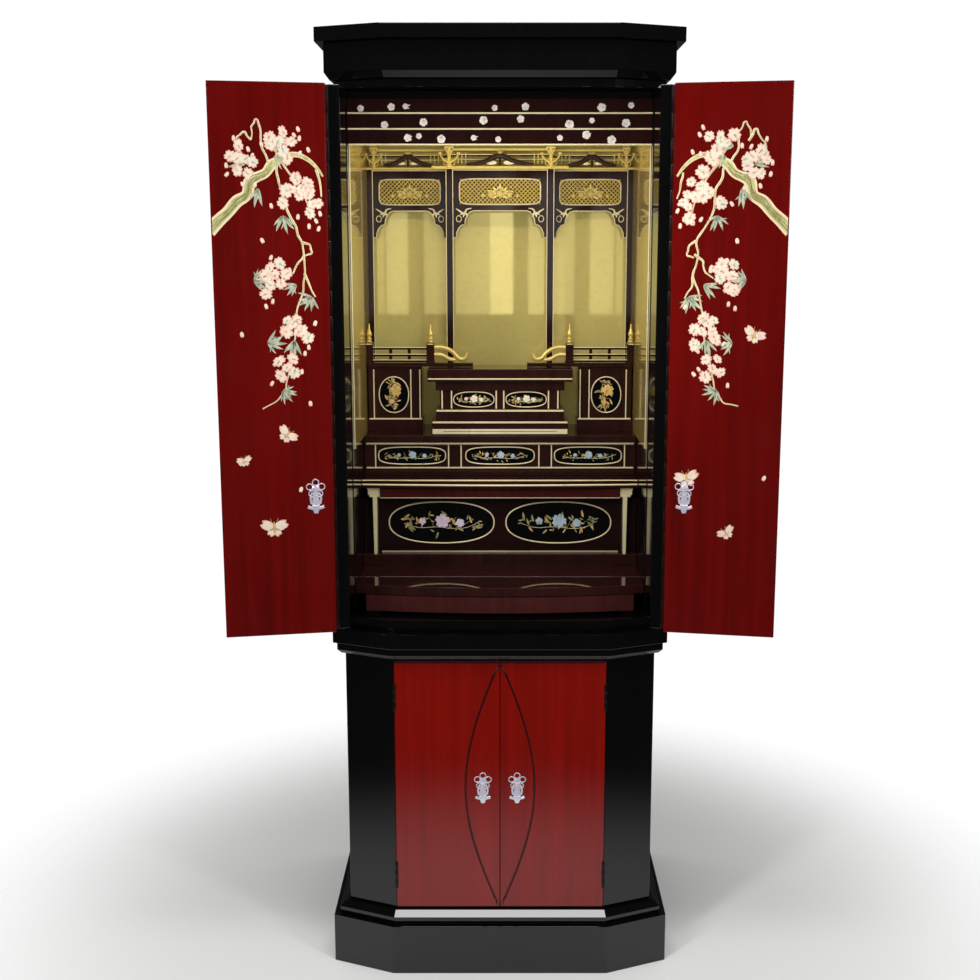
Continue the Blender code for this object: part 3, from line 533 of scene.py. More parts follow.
cherry = {
    "bough": [(1.02, 0.232), (0.93, 0.215), (0.86, 0.203), (0.78, 0.186), (0.7, 0.176), (0.655, 0.152),
              (0.6, 0.147), (0.535, 0.141), (0.48, 0.128), (0.42, 0.121), (0.3, 0.112), (0.2, 0.117),
              (0.1, 0.133), (0.052, 0.146)],
    "boughWide": [1.12, 1.0, 0.92, 0.98, 0.84, 1.02, 0.78, 0.74, 0.82, 0.6, 0.42, 0.34, 0.24, 0.14],
    "boughWidth": 0.0185,
    "twigs": [
        [(0.5, 0.13), (0.56, 0.1), (0.565, 0.075), (0.6, 0.058), (0.64, 0.07), (0.645, 0.09)],
        [(0.645, 0.09), (0.7, 0.078), (0.76, 0.086), (0.79, 0.1)],
        [(0.44, 0.122), (0.45, 0.1), (0.42, 0.085)],
        [(0.11, 0.135), (0.08, 0.155), (0.07, 0.178)],
        [(0.4, 0.122), (0.32, 0.145), (0.24, 0.165), (0.16, 0.205)],
        [(0.44, 0.126), (0.43, 0.15), (0.4, 0.168), (0.36, 0.2), (0.29, 0.226), (0.245, 0.25),
         (0.23, 0.27), (0.225, 0.3), (0.245, 0.33), (0.3, 0.358), (0.315, 0.385), (0.33, 0.41),
         (0.36, 0.43), (0.38, 0.46), (0.42, 0.49), (0.5, 0.508), (0.62, 0.52)],
        [(0.23, 0.272), (0.28, 0.283), (0.33, 0.3), (0.37, 0.302)],
        [(0.245, 0.25), (0.18, 0.254), (0.165, 0.268), (0.225, 0.272)],
        [(0.23, 0.3), (0.19, 0.318), (0.14, 0.338)],
    ],
    "twigWidth": 0.0029, "twigKink": 0.0016,
    "clusters": [
        (0.76, 0.118, 0.055, 0.018, 5), (0.66, 0.134, 0.05, 0.010, 3), (0.42, 0.092, 0.11, 0.014, 6),
        (0.36, 0.112, 0.04, 0.010, 2), (0.31, 0.142, 0.04, 0.008, 2), (0.24, 0.165, 0.08, 0.014, 6),
        (0.38, 0.178, 0.05, 0.014, 3), (0.15, 0.19, 0.05, 0.016, 4), (0.48, 0.302, 0.09, 0.018, 7),
        (0.53, 0.332, 0.03, 0.010, 2), (0.34, 0.382, 0.08, 0.014, 5), (0.44, 0.398, 0.05, 0.010, 2),
        (0.25, 0.4, 0.05, 0.012, 3), (0.4, 0.452, 0.08, 0.016, 5),
    ],
    "buds": [(0.79, 0.083), (0.86, 0.125), (0.84, 0.14), (0.68, 0.1), (0.63, 0.11), (0.26, 0.068),
             (0.24, 0.082), (0.18, 0.1), (0.23, 0.106), (0.3, 0.078), (0.62, 0.155), (0.74, 0.155),
             (0.27, 0.205), (0.18, 0.22), (0.09, 0.224), (0.13, 0.212), (0.5, 0.27), (0.57, 0.348),
             (0.5, 0.34), (0.24, 0.425), (0.21, 0.415), (0.52, 0.474), (0.27, 0.455), (0.09, 0.2),
             (0.57, 0.092), (0.5, 0.188), (0.36, 0.29)],
    "leafTufts": [(0.6, 0.165, -75, 3), (0.4, 0.208, -95, 5), (0.66, 0.312, 172, 6), (0.3, 0.318, -30, 4),
                  (0.17, 0.338, -50, 6), (0.56, 0.412, 178, 5), (0.44, 0.49, -140, 6),
                  (0.46, 0.115, -150, 3), (0.52, 0.1, 165, 3), (0.7, 0.128, 20, 3), (0.33, 0.408, -80, 4)],
    "petals": {
        "left": [(0.59, 0.243), (0.78, 0.393), (0.14, 0.376), (0.21, 0.508), (0.84, 0.605), (0.3, 0.652)],
        "right": [(0.57, 0.243), (0.36, 0.29), (0.16, 0.35), (0.5, 0.41), (0.22, 0.46), (0.88, 0.63)],
    },
    "butterflies": {
        "left": [(0.42, 0.565, 0.027, 40), (0.79, 0.607, 0.019, -14), (0.55, 0.722, 0.034, 0)],
        "right": [(0.74, 0.4, 0.028, -24), (0.2, 0.64, 0.031, 12), (0.56, 0.73, 0.023, 32)],
    },
    "wings": [(26, 1.0, 0.8), (154, 1.0, 0.8), (-52, 0.62, 0.95), (-128, 0.62, 0.95)],
    "blossomSize": 0.0158, "budSize": 0.0078, "leafSize": 0.019, "grain": 4, "barkLift": 0.0006,
    "trimShare": 0.992, "petalSize": 0.0135, "petalRimSize": 0.0155,
}
leafPlan = {"width": 0.189, "thickness": 0.020, "openTurn": math.radians(79.5), "rimLift": 0.00012}


def leafFace(side):
    sign = -1 if side == "left" else 1
    fold = next(j for j in frame["joints"] if j["name"] == f"{side}_fold_hinge")["pos_m"]
    turn = -math.pi / 2 + sign * leafPlan["openTurn"]
    along = Vector((math.cos(turn), math.sin(turn), 0))
    outOfFace = Vector((sign * math.sin(turn), -sign * math.cos(turn), 0))
    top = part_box(f"{side}_front_leaf")[1].z
    start = Vector((fold[0], fold[1], top)) + outOfFace * leafPlan["thickness"]
    columns = (along, Vector((0, 0, 1)), outOfFace, start)
    return Matrix([[c[row] for c in columns] for row in range(3)] + [[0, 0, 0, 1]])


def onLeaf(point):
    return point[0] * leafPlan["width"], -point[1]


def inlayTufts(tufts, size, rng):
    leaves = []
    for across, drop, heading, count in tufts:
        u, v = onLeaf((across, drop))
        for number in range(count):
            spread = (number - (count - 1) / 2) * 26 + rng.uniform(-8, 8)
            turn = math.radians(heading + spread)
            reach = size * (1.15 - 0.12 * abs(number - (count - 1) / 2)) * rng.uniform(0.8, 1.1)
            leaves.append(stamp(leafSource, u, v, turn, reach * 1.2, 0.0001, 0.62))
            if number % 2 == 0:  # small side lobe
                half = reach * 0.5
                leaves.append(stamp(leafSource, u + half * math.cos(turn), v + half * math.sin(turn),
                                    turn + rng.choice((-0.7, 0.7)), half, 0.00015, 0.6))
    return leaves


def buildInlay(side, seed):
    rng = random.Random(seed)
    plan = cherry
    wander = 0.0 if side == "left" else 0.006
    hearts, petals, coolPetals, rims, darkLines = [], [], [], [], []

    def vary(point):
        u, v = onLeaf(point)
        return u + rng.uniform(-wander, wander) * 0.6, v + rng.uniform(-wander, wander)

    bough = [onLeaf(p) for p in plan["bough"]]
    wide = plan["boughWidth"]
    woodRims = [stroke(bough, wide * 1.1, 0.0008, widths=plan["boughWide"])]
    wood = [stroke(bough, wide * 0.86, 0.0014, widths=plan["boughWide"])]
    for line in range(plan["grain"]):  # bark lines that run along the bough
        offCentre = (line + 0.5) / plan["grain"] - 0.5
        path = []
        for (u, v), share in zip(bough[:10], plan["boughWide"]):
            aside = offCentre * wide * share * 0.7
            path.append((u + rng.uniform(-1, 1) * 0.001, v + aside + rng.uniform(-1, 1) * 0.0007))
        strip = stroke(path[line % 2:9 - line % 3], 0.0011, 0.0008)
        darkLines.append(moveBy(strip, raiseBy(plan["barkLift"])))
    for twig in plan["twigs"]:
        path = []
        for number, point in enumerate(twig):  # a small kink between the plan's points
            u, v = vary(point)
            if number:
                kink = rng.uniform(-1, 1) * plan["twigKink"]
                path.append(((path[-1][0] + u) / 2 + kink, (path[-1][1] + v) / 2 - kink * 0.5))
            path.append((u, v))
        slim = [(1 - 0.5 * n / len(path)) * rng.uniform(0.85, 1.25) for n in range(len(path))]
        woodRims.append(stroke(path, plan["twigWidth"] * 1.25, 0.0008, widths=slim))
        wood.append(stroke(path, plan["twigWidth"] * 0.7, 0.0012, widths=slim))
    for across, drop, spreadU, spreadV, count in plan["clusters"]:
        start = rng.uniform(0, math.tau)
        for number in range(count):
            turn = start + math.tau * number / max(count - 1, 1)
            reach = 0 if number == count - 1 and count > 3 else rng.uniform(0.75, 1.15)
            u, v = vary((across + spreadU * reach * math.cos(turn), drop + spreadV * reach * math.sin(turn)))
            size = plan["blossomSize"] * rng.uniform(0.78, 1.12)
            lift = 0.0003 + 0.0001 * number / count
            narrow = rng.uniform(0.62, 1.0)
            rims.append(stamp(blossomSource, u, v, turn, size * 1.14, lift - leafPlan["rimLift"], narrow))
            group = coolPetals if number % 3 == 2 else petals
            group.append(stamp(blossomSource, u, v, turn, size * 0.94, lift, narrow))
            hearts.append(stamp(heartSource, u, v, turn, size, lift + 0.0004))
    for bud in plan["buds"]:
        u, v = vary(bud)
        turn = rng.uniform(-2.2, -0.9)
        petals.append(stamp(petalSource, u, v, turn, plan["budSize"] * 1.65, 0.0002, 0.66))
        rims.append(stamp(petalSource, u, v, turn, plan["budSize"] * 1.95, 0.00005, 0.7))
    for petal in plan["petals"][side]:
        u, v = onLeaf(petal)
        turn = rng.uniform(-2.2, -0.9)
        petals.append(stamp(petalSource, u, v, turn, plan["petalSize"], 0.0001, 0.7))
        rims.append(stamp(petalSource, u, v, turn, plan["petalRimSize"], 0.00005, 0.75))
    for across, drop, size, lean in plan["butterflies"][side]:
        u, v = onLeaf((across, drop))
        for heading, share, narrow in plan["wings"]:
            turn = math.radians(lean + heading)
            petals.append(stamp(petalSource, u, v, turn, size * share, 0.0002, narrow))
            rims.append(stamp(petalSource, u, v, turn, size * share * 1.13, 0.0001, narrow))
        tip = math.radians(lean + 90)
        for spread in (-0.35, 0.35):
            reach = (size * 0.55 * math.cos(tip + spread), size * 0.55 * math.sin(tip + spread))
            rims.append(stroke([(u, v), (u + reach[0], v + reach[1])], 0.0006, 0.0007))
        hearts.append(stamp(leafSource, u - math.cos(tip) * size * 0.25, v - math.sin(tip) * size * 0.25, tip,
                            size * 0.55, 0.0005, 0.8))
    leaves = inlayTufts(plan["leafTufts"], plan["leafSize"], rng)
    edge = leafPlan["width"] * plan["trimShare"]
    for label, parts, key in (
        ("InlayRims", rims, "petalRim"), ("InlayBoughEdge", woodRims, "branchEdge"),
        ("InlayBough", wood, "branch"), ("InlayBark", darkLines, "bark"),
        ("InlayPetals", petals, "petal"), ("InlayCoolPetals", coolPetals, "coolPetal"),
        ("InlayHearts", hearts, "heart"), ("InlayLeaves", leaves, "leafGreen"),
    ):
        piece = joinAll(side + label, parts)
        fixInPlace(piece)
        editMesh(piece, bpy.ops.mesh.bisect, plane_co=(edge, 0, 0), plane_no=(1, 0, 0), use_fill=True,
                 clear_outer=True)
        settle(side + label, [piece], leafFace(side), key, f"{side}_front_leaf")


buildInlay("left", 11)
buildInlay("right", 29)
print("door pictures inlaid")


# Cupboard doors with the shallow lens groove across both

lensGroove = {"start": 0.0035, "halfWide": 0.059, "low": 0.004, "high": 0.003, "width": 0.0044, "lines": 24,
              "sink": 0.0006}


def buildCupboardDoors():
    low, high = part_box("right_lower_door")
    door = duplicate(nodes["right_lower_door"])
    world = nodes["right_lower_door"].matrix_world.copy()
    door.parent = None
    door.matrix_world = world
    for key in list(door.keys()):
        del door[key]
    door.name = "rightCupboardDoor"
    editMesh(door, bpy.ops.mesh.remove_doubles, threshold=0.00001)
    editMesh(door, bpy.ops.mesh.dissolve_limited, angle_limit=0.002)
    bottom = low.z + lensGroove["low"]
    top = high.z - lensGroove["high"]
    path = []
    for number in range(lensGroove["lines"] + 1):
        share = number / lensGroove["lines"]
        reach = lensGroove["start"] + lensGroove["halfWide"] * math.sin(math.pi * share)
        path.append((reach, bottom + (top - bottom) * share))
    tool = stroke(path, lensGroove["width"], lensGroove["width"], smooth=False, sides=3)
    moveBy(tool, faceAt(-lensGroove["sink"]))
    faceOutwards(tool)
    # the groove's cut faces take the darker red: painted shade
    tool.data.materials.append(finish["grooveShadeRed"])
    door.data.materials.clear()
    door.data.materials.append(finish["cupboardRed"])
    useModifier(door, "BOOLEAN", operation="DIFFERENCE", object=tool, solver="EXACT",
                material_mode="TRANSFER")
    dropSource(tool)
    mirrored = duplicate(door)  # the left door is the same door turned over
    mirrored.name = "leftCupboardDoor"
    mirrored.matrix_world = Matrix.Diagonal((-1, 1, 1, 1)) @ world
    for piece, node in ((door, "right_lower_door"), (mirrored, "left_lower_door")):
        fixInPlace(piece)
        faceOutwards(piece)
        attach(piece, node)
        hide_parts(node)


buildCupboardDoors()
print("cupboard doors grooved")


# Plum-blossom pulls

pullPlan = {
    "petals": 5, "ring": 0.0052, "spread": 0.0105, "headRise": 0.014, "lift": 0.0006,
    "boss": 0.0068, "bossFlat": 0.32,
    "spine": [(0, 0.010), (0, 0.0), (0, -0.010), (0, -0.018), (0, -0.028)],
    "spineWide": [0.55, 0.8, 1.0, 1.05, 0.5],
    "edge": [(0.005, 0.008), (0.0085, 0.0), (0.0075, -0.012)],
    "foot": [(0, -0.0185), (0.007, -0.019), (0.0135, -0.0165)],
    "bridge": [(-0.006, -0.0145), (0, -0.0155), (0.006, -0.0145)],
    "eye": (0, -0.0055, 0.0043, 0.0085),
}


def modelPull():
    parts = []
    plan = pullPlan
    for number in range(plan["petals"]):
        turn = math.pi / 2 + math.tau * number / plan["petals"]
        u = plan["spread"] * math.cos(turn)
        v = plan["headRise"] + plan["spread"] * math.sin(turn)
        parts.append(stroke(ovalPath(u, v, plan["ring"], plan["ring"], 10), 0.0019, 0.002, closed=True))
    clearPick()
    bpy.ops.mesh.primitive_uv_sphere_add(segments=16, ring_count=8, radius=plan["boss"],
                                         location=(0, plan["headRise"], 0.0003))
    boss = bpy.context.object
    boss.scale.z = plan["bossFlat"]
    fixInPlace(boss)
    parts.append(boss)
    parts.append(stroke(plan["spine"], 0.013, 0.0034, widths=plan["spineWide"], sides=4))
    for sign in (-1, 1):
        parts.append(stroke(onSide(sign, plan["edge"]), 0.0034, 0.002))
        parts.append(stroke(onSide(sign, plan["foot"]), 0.006, 0.003, widths=[1, 0.85, 0.95], sides=3))
    parts.append(stroke(plan["bridge"], 0.0036, 0.005, sides=3))
    parts.append(stroke(ovalPath(*plan["eye"], 12), 0.0013, 0.0042, closed=True))
    return joinAll("pullSource", parts)


pullSource = modelPull()
for side, sign in sides:
    for level, label, place, body in (
        ("lower", "CupboardPull", faceAt(0), "lower_door"),
        ("upper", "DoorPull", leafFace(side), "front_leaf"),
    ):
        low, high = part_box(f"{side}_{level}_pull")
        middle = place.inverted() @ ((low + high) / 2)
        plate = stamp(pullSource, middle.x, middle.y, 0, 1, pullPlan["lift"])
        settle(side + label, [plate], place, "silver", f"{side}_{body}")
        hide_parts(f"{side}_{level}_pull")
dropSource(pullSource)
print("pulls made")


# Gilt lines, ovals and sprigs on the stepped altar

def panelLine(u, v, thick, proud=0.0007):
    # a straight raised gilt line, level or upright, from its two ends
    wide = thick / 2
    if u[0] == u[1]:
        return bar((u[0] - wide, u[0] + wide), v, (-0.0004, proud), 0.0003)
    return bar(u, (v[0] - wide, v[0] + wide), (-0.0004, proud), 0.0003)


def finishLines(name, parts, depth):
    return settle(name, parts, faceAt(depth), "lineGold")


def ovalPanel(name, u, v, halfWide, halfTall, depth, rim, power):
    clearPick()
    bpy.ops.mesh.primitive_circle_add(vertices=48, radius=1, fill_type="NGON", location=(0, 0, 0))
    disc = bpy.context.object
    for vertex, (x, y) in zip(disc.data.vertices, ovalPath(0, 0, halfWide, halfTall, 48, power)):
        vertex.co = (u + x, v + y, 0.0002)
    useModifier(disc, "SOLIDIFY", thickness=0.0006, offset=0)
    settle(name + "Field", [disc], faceAt(depth), "black")
    ring = stroke(ovalPath(u, v, halfWide, halfTall, 24, power), rim, 0.0024, closed=True)
    finishLines(name + "Rim", [ring], depth)


sprigPlan = {  # places and paths in shares of the oval's half length and half height
    "level": ((0.02, 0.12, 1.0), (-0.46, 0.1, 0.5), (0.44, -0.02, 0.6)),
    "upright": ((0.3, 0.15, 1.0), (-0.45, -0.2, 0.42)),
    "stem": [(-0.9, -0.05), (-0.55, -0.35), (-0.1, -0.3), (0.3, -0.42), (0.65, -0.3), (0.92, 0.1)],
    "forks": ((-0.3, 0.45), (0.35, 0.4), (0.75, 0.25)),
    "layers": (1.0, 0.74, 0.5), "leaves": 44,
}


def sprig(name, u, v, halfWide, halfTall, depth, seed, upright=False, bloomShare=0.5,
          bloomKey="pearlBlue"):
    rng = random.Random(seed)
    blooms, leaves, stems = [], [], []
    bloom = min(halfWide, halfTall) * bloomShare

    def spot(along, aside):
        if upright:
            return u + aside * halfWide, v + along * halfTall
        return u + along * halfWide, v + aside * halfTall

    for along, aside, size in sprigPlan["upright" if upright else "level"]:
        x, y = spot(along, aside)
        for layer, share in enumerate(sprigPlan["layers"]):
            turn = rng.uniform(0, math.tau)
            lift = 0.0006 + 0.0003 * layer
            blooms.append(stamp(blossomSource, x, y, turn, bloom * size * share * 1.6, lift))
    stems.append(stroke([spot(*point) for point in sprigPlan["stem"]], 0.0010, 0.0014))
    for along, aside in sprigPlan["forks"]:
        stems.append(stroke([spot(along * 0.6, -0.3), spot(along, aside)], 0.0008, 0.0012))
    paleLeaves = []
    for number in range(sprigPlan["leaves"]):
        along = rng.uniform(-0.98, 0.98)
        x, y = spot(along, rng.uniform(-0.75, 0.55) * (1 - 0.5 * abs(along)))
        turn = rng.uniform(0, math.tau)
        group = paleLeaves if number % 3 == 0 else leaves
        group.append(stamp(leafSource, x, y, turn, bloom * rng.uniform(0.45, 0.95), 0.0005))
    for label, parts, key in (("Blooms", blooms, bloomKey), ("Leaves", leaves, "leafPearl"),
                              ("PaleLeaves", paleLeaves, "pearlGold"), ("Stem", stems, "lineGold")):
        settle(name + label, parts, faceAt(depth), key)


def buildOvalBoard():
    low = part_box("oval_panel")[0]
    depth = low.y - doorPlane
    plan = {"u": 0.1115, "v": low.z + 0.0575, "half": (0.1, 0.040), "edge": 0.226}
    for label, sign, key in (("left", -1, "pearlRose"), ("right", 1, "pearlBlue")):
        ovalPanel(label + "LongOval", sign * plan["u"], plan["v"], *plan["half"], depth, 0.003, 0.86)
        sprig(label + "LongSprig", sign * plan["u"], plan["v"], plan["half"][0] * 0.8, plan["half"][1] * 0.7,
              depth, 5 + sign, bloomKey=key)
    # a pale gilt line along the board's lower edge: painted highlight
    lines = [panelLine((-plan["edge"], plan["edge"]), (low.z + 0.0012, 0), 0.0016)]
    finishLines("ovalBoardEdgeHighlight", lines, depth)


def buildTierFront():
    low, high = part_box("tier_front")
    depth = low.y - doorPlane
    plan = {"lineLow": low.z + 0.0155, "lineHigh": high.z - 0.001, "ovalHalfTall": 0.0165, "seed": 40,
            "uprights": (0.2385, 0.0985, 0.0745),
            "ovals": (("left", -0.1685, 0.064), ("centre", 0, 0.0655), ("right", 0.1685, 0.064))}
    edge = high.x - 0.004
    lines = [
        panelLine((-edge, edge), (plan["lineLow"], 0), 0.0026, 0.0016),
        panelLine((-edge, edge), (plan["lineHigh"], 0), 0.0022, 0.0014),
    ]
    span = (plan["lineLow"], plan["lineHigh"])
    for u in bothSides(*plan["uprights"]):
        lines.append(panelLine((u, u), span, 0.0024, 0.0012))
    finishLines("tierLines", lines, depth)
    middle = sum(span) / 2 + 0.0005
    for label, u, half in plan["ovals"]:
        ovalPanel(label + "TierOval", u, middle, half, plan["ovalHalfTall"], depth, 0.0024, 0.62)
        sprig(label + "TierSprig", u, middle, half * 0.84, plan["ovalHalfTall"] * 0.8, depth,
              plan["seed"] + int(u * 50), bloomShare=0.55)
    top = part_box("tier_top")
    lip = panelLine((-edge, edge), (top[0].z + 0.0012, 0), 0.0014)
    finishLines("tierTopLine", [lip], top[0].y - doorPlane)


pedestalTrim = {
    "depthShare": 0.4, "waistHalf": 0.115, "baseHalf": 0.130, "grooveHalf": 0.108,
    "uprights": (0.1105, 0.0925, 0.0072), "uprightSpan": (0.05, 0.086), "oval": (0.05, 0.0675),
    "ovalHalf": (0.0385, 0.0144), "sprigHalf": (0.032, 0.012), "seed": 70,
    "lines": {  # half width, height and thickness of each gilt line
        "Base": (0.130, 0.0065, 0.0095), "BaseTop": (0.130, 0.0242, 0.0034),
        "StepTop": (0.1225, 0.0462, 0.0034), "WaistTop": (0.115, 0.0868, 0.0028),
        "SlabLow": (0.138, 0.1076, 0.0026),
    },
}


def buildPedestalTrim():
    low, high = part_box("pedestal")

    def faceDepth(half):  # each stage stands back by a share of what it is narrower than the slab
        return low.y - doorPlane + (high.x - half) * pedestalTrim["depthShare"]

    for label, (half, height, thick) in pedestalTrim["lines"].items():
        span = (-half + 0.001, half - 0.001)
        line = panelLine(span, (low.z + height, 0), thick, 0.0012)
        finishLines("pedestal" + label + "Line", [line], faceDepth(half))
    grooveHalf = pedestalTrim["grooveHalf"]
    # a thin black bar proud of the gilt base band stands in for a groove's shadow: painted shade
    groove = panelLine((-grooveHalf, grooveHalf), (low.z + 0.0072, 0), 0.0009, 0.0017)
    settle("pedestalBaseGrooveShadow", [groove], faceAt(faceDepth(pedestalTrim["baseHalf"])), "black")
    waistDepth = faceDepth(pedestalTrim["waistHalf"])
    span = [low.z + rise for rise in pedestalTrim["uprightSpan"]]
    uprights = [panelLine((u, u), span, 0.0026, 0.0014) for u in bothSides(*pedestalTrim["uprights"])]
    finishLines("pedestalUprights", uprights, waistDepth)
    for label, sign in sides:
        middle = (sign * pedestalTrim["oval"][0], low.z + pedestalTrim["oval"][1])
        ovalPanel(label + "WaistOval", *middle, *pedestalTrim["ovalHalf"], waistDepth, 0.002, 0.8)
        sprig(label + "WaistSprig", *middle, *pedestalTrim["sprigHalf"], waistDepth,
              pedestalTrim["seed"] + sign, bloomShare=0.6, bloomKey="petal")


def buildSideBoxTrim():
    plan = {"front": 0.300, "inner": 0.1515, "outer": 0.2535, "sill": 0.0243, "lid": 0.008,
            "uprights": (0.0095, 0.081, 0.0985), "ovalCentre": 0.2055, "ovalHalf": (0.0285, 0.0345),
            "sprigHalf": (0.021, 0.029), "seed": 90}
    for label, sign in sides:
        base = deckTop + plan["sill"]
        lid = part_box(f"{label}_side_box")[1].z - plan["lid"]
        span = sorted((sign * plan["inner"], sign * plan["outer"]))
        lines = [panelLine(span, (base + 0.0012, 0), 0.0028, 0.0022)]
        for step in plan["uprights"]:
            u = sign * (plan["outer"] - step)
            lines.append(panelLine((u, u), (base, lid - 0.005), 0.0022, 0.0013))
        finishLines(label + "BoxLines", lines, plan["front"])
        middle = (sign * plan["ovalCentre"], (base + lid) / 2 - 0.003)
        ovalPanel(label + "BoxOval", *middle, *plan["ovalHalf"], plan["front"], 0.0024, 0.95)
        sprig(label + "BoxSprig", *middle, *plan["sprigHalf"], plan["front"], plan["seed"] + sign,
              upright=True, bloomShare=0.55, bloomKey="pearlGold")


def buildShelfTrim():
    low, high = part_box("shelf")
    plan = {"front": 0.186, "bow": 0.010, "half": high.x - 0.001, "apronFront": 0.198,
            "apronHalf": 0.2265, "steps": 16,
            "lines": ((0.0001, 0.0026, True), (-0.0075, 0.0036, False))}  # above the top, width, straight
    parts = []
    for rise, width, straight in plan["lines"]:
        path = []
        for number in range(plan["steps"] + 1):
            share = 2 * number / plan["steps"] - 1
            depth = plan["front"] + plan["bow"] * (1.1 if straight else share ** 2)
            path.append((share * plan["half"], doorPlane + depth))
        line = stroke(path, width, smooth=False, sides=3)
        parts.append(moveBy(line, raiseBy(high.z + rise)))
    settle("shelfEdgeLines", parts, asModelled, "lineGold")
    across = (-plan["apronHalf"], plan["apronHalf"])
    apron = bar(across, (low.z + 0.0012, low.z + 0.0185), (-0.0005, 0.0012), 0.0006)
    settle("apronFace", [apron], faceAt(plan["apronFront"]), "apronRed")
    lip = bar(across, (low.z + 0.0002, low.z + 0.0014), (-0.0005, 0.0018), 0.0003)
    finishLines("apronLip", [lip], plan["apronFront"])


buildOvalBoard()
buildTierFront()
buildPedestalTrim()
buildSideBoxTrim()
buildShelfTrim()
print("altar steps trimmed")


# Railings with swept gilt ends

railPlan = {"post": 0.015, "innerPost": 0.134, "bars": (0.0005, 0.0115, 0.0245), "bar": 0.005,
            "barDeep": 0.007, "footOut": 0.001, "foot": 0.004, "bandIn": 0.002, "band": (0.0036, 0.0016),
            "barHighlight": (0.0036, 0.0052), "strutShift": 0.018, "strutHalf": 0.003, "strut": (0.004, 0.027)}
railEnds = {
    "upper": [(0.128, 0.0285), (0.108, 0.028), (0.09, 0.019), (0.078, 0.0068), (0.068, 0.0075),
              (0.0625, 0.0185)],
    "lower": [(0.128, 0.0145), (0.112, 0.014), (0.098, 0.0065), (0.086, 0.0045)],
    "width": 0.0082,
}


def buildRailing(side, sign):
    low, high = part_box(f"{side}_railing")
    base = low.z
    half = railPlan["post"] / 2
    outer = low.x + half if side == "left" else high.x - half
    wood, lines, ends = [], [], []
    for x in (sign * railPlan["innerPost"], outer):
        wood.append(bar((x - half, x + half), (base, high.z), (-railPlan["post"], 0), 0.0012))
        foot = (x - half - railPlan["footOut"], x + half + railPlan["footOut"])
        wood.append(bar(foot, (base, base + railPlan["foot"]), (-railPlan["post"], 0.0008)))
        band = (x - half + railPlan["bandIn"], x + half - railPlan["bandIn"])
        lines.append(bar(band, [high.z - drop for drop in railPlan["band"]], (-0.002, 0.0006)))
    span = sorted((sign * (railPlan["innerPost"] + half - 0.002), outer - sign * (half - 0.002)))
    middle = -railPlan["post"] / 2
    deep = (middle - railPlan["barDeep"] / 2, middle + railPlan["barDeep"] / 2)
    for rise in railPlan["bars"]:
        wood.append(bar(span, (base + rise, base + rise + railPlan["bar"]), deep, 0.0008))
        # a pale gilt strip along the top edge of each rail bar: painted highlight
        edge = [base + rise + more for more in railPlan["barHighlight"]]
        lines.append(bar(span, edge, (deep[1] - 0.001, deep[1] + 0.0005)))
    for shift in bothSides(railPlan["strutShift"]):  # short struts between the rails
        u = sum(span) / 2 + shift
        strut = (u - railPlan["strutHalf"], u + railPlan["strutHalf"])
        wood.append(bar(strut, [base + rise for rise in railPlan["strut"]], deep))
    for key in ("upper", "lower"):
        path = onSide(sign, railEnds[key], (0, base))
        slim = [1.0] * (len(path) - 1) + [0.7]
        end = stroke(path, railEnds["width"], widths=slim, sides=4)
        ends.append(moveBy(end, raiseBy(middle)))
    place = faceAt(low.y - doorPlane)
    posts = settle(side + "RailingWood", wood, place, "wine")
    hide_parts(f"{side}_railing")
    # the post bands are gilt, while the strips on the rail bars' top edges are painted highlights
    settle(side + "RailingGiltAndHighlightLines", lines, place, "lineGold")
    settle(side + "RailingEnds", ends, place, "brightGold")


for side, sign in sides:
    buildRailing(side, sign)
print("railings made")


# Three-bay screen: lattice panels, cusped gilt edges and corner ornament

headerShape = {"height": 0.078, "drop": 0.051, "reach": 0.040, "tip": 0.006, "cusps": 2,
               "windowRise": 0.012, "windowTall": 0.048, "windowInset": 0.013, "pitch": 0.0082, "rib": 0.0019,
               "ribSink": -0.0016, "ring": (0.0048, 0.0058), "ringSpot": [(0.0115, -0.015)],
               "curl": [(0.006, 0.004), (0.014, -0.001), (0.022, -0.006), (0.026, 0.002), (0.036, 0.005)],
               "curlWide": [0.5, 1, 1.3, 1, 0.4], "leafSpot": [(0.0235, -0.002)],
               "leafTurns": (-150, -110, -60), "flowerEdge": 0.012,
               "flowers": ((0, 0.0125), (-0.018, 0.010), (0.018, 0.010), (-0.033, 0.007), (0.033, 0.007)),
               "flowerLeaves": ((12, 0.024), (42, 0.018), (138, 0.018), (168, 0.024), (-30, 0.017),
                                (-150, 0.017), (90, 0.019), (68, 0.014), (112, 0.014))}


def slantLines(x, z, pitch, lean):
    wide, tall = x[1] - x[0], z[1] - z[0]
    lines = []
    for number in range(1, int((wide + tall) / pitch) + 1):
        offset = number * pitch
        ends = [(max(0, offset - tall), min(offset, tall)), (min(offset, wide), max(0, offset - wide))]
        if abs(ends[1][0] - ends[0][0]) < pitch / 3:
            continue
        if lean < 0:
            ends = [(wide - u, v) for u, v in ends]
        lines.append([(x[0] + u, z[0] + v) for u, v in ends])
    return lines


def cuspedPath(x, sign, opening, tip):
    plan = headerShape
    path = [(x, tip), (x + sign * plan["tip"], tip)]
    run = (plan["reach"] - plan["tip"]) / plan["cusps"]
    rise = (opening - tip) / plan["cusps"]
    for cusp in range(plan["cusps"]):
        for step in range(1, 5):
            turn = math.pi / 2 * step / 4
            path.append((
                x + sign * (plan["tip"] + run * (cusp + 1 - math.cos(turn))),
                tip + rise * (cusp + math.sin(turn)),
            ))
    return path


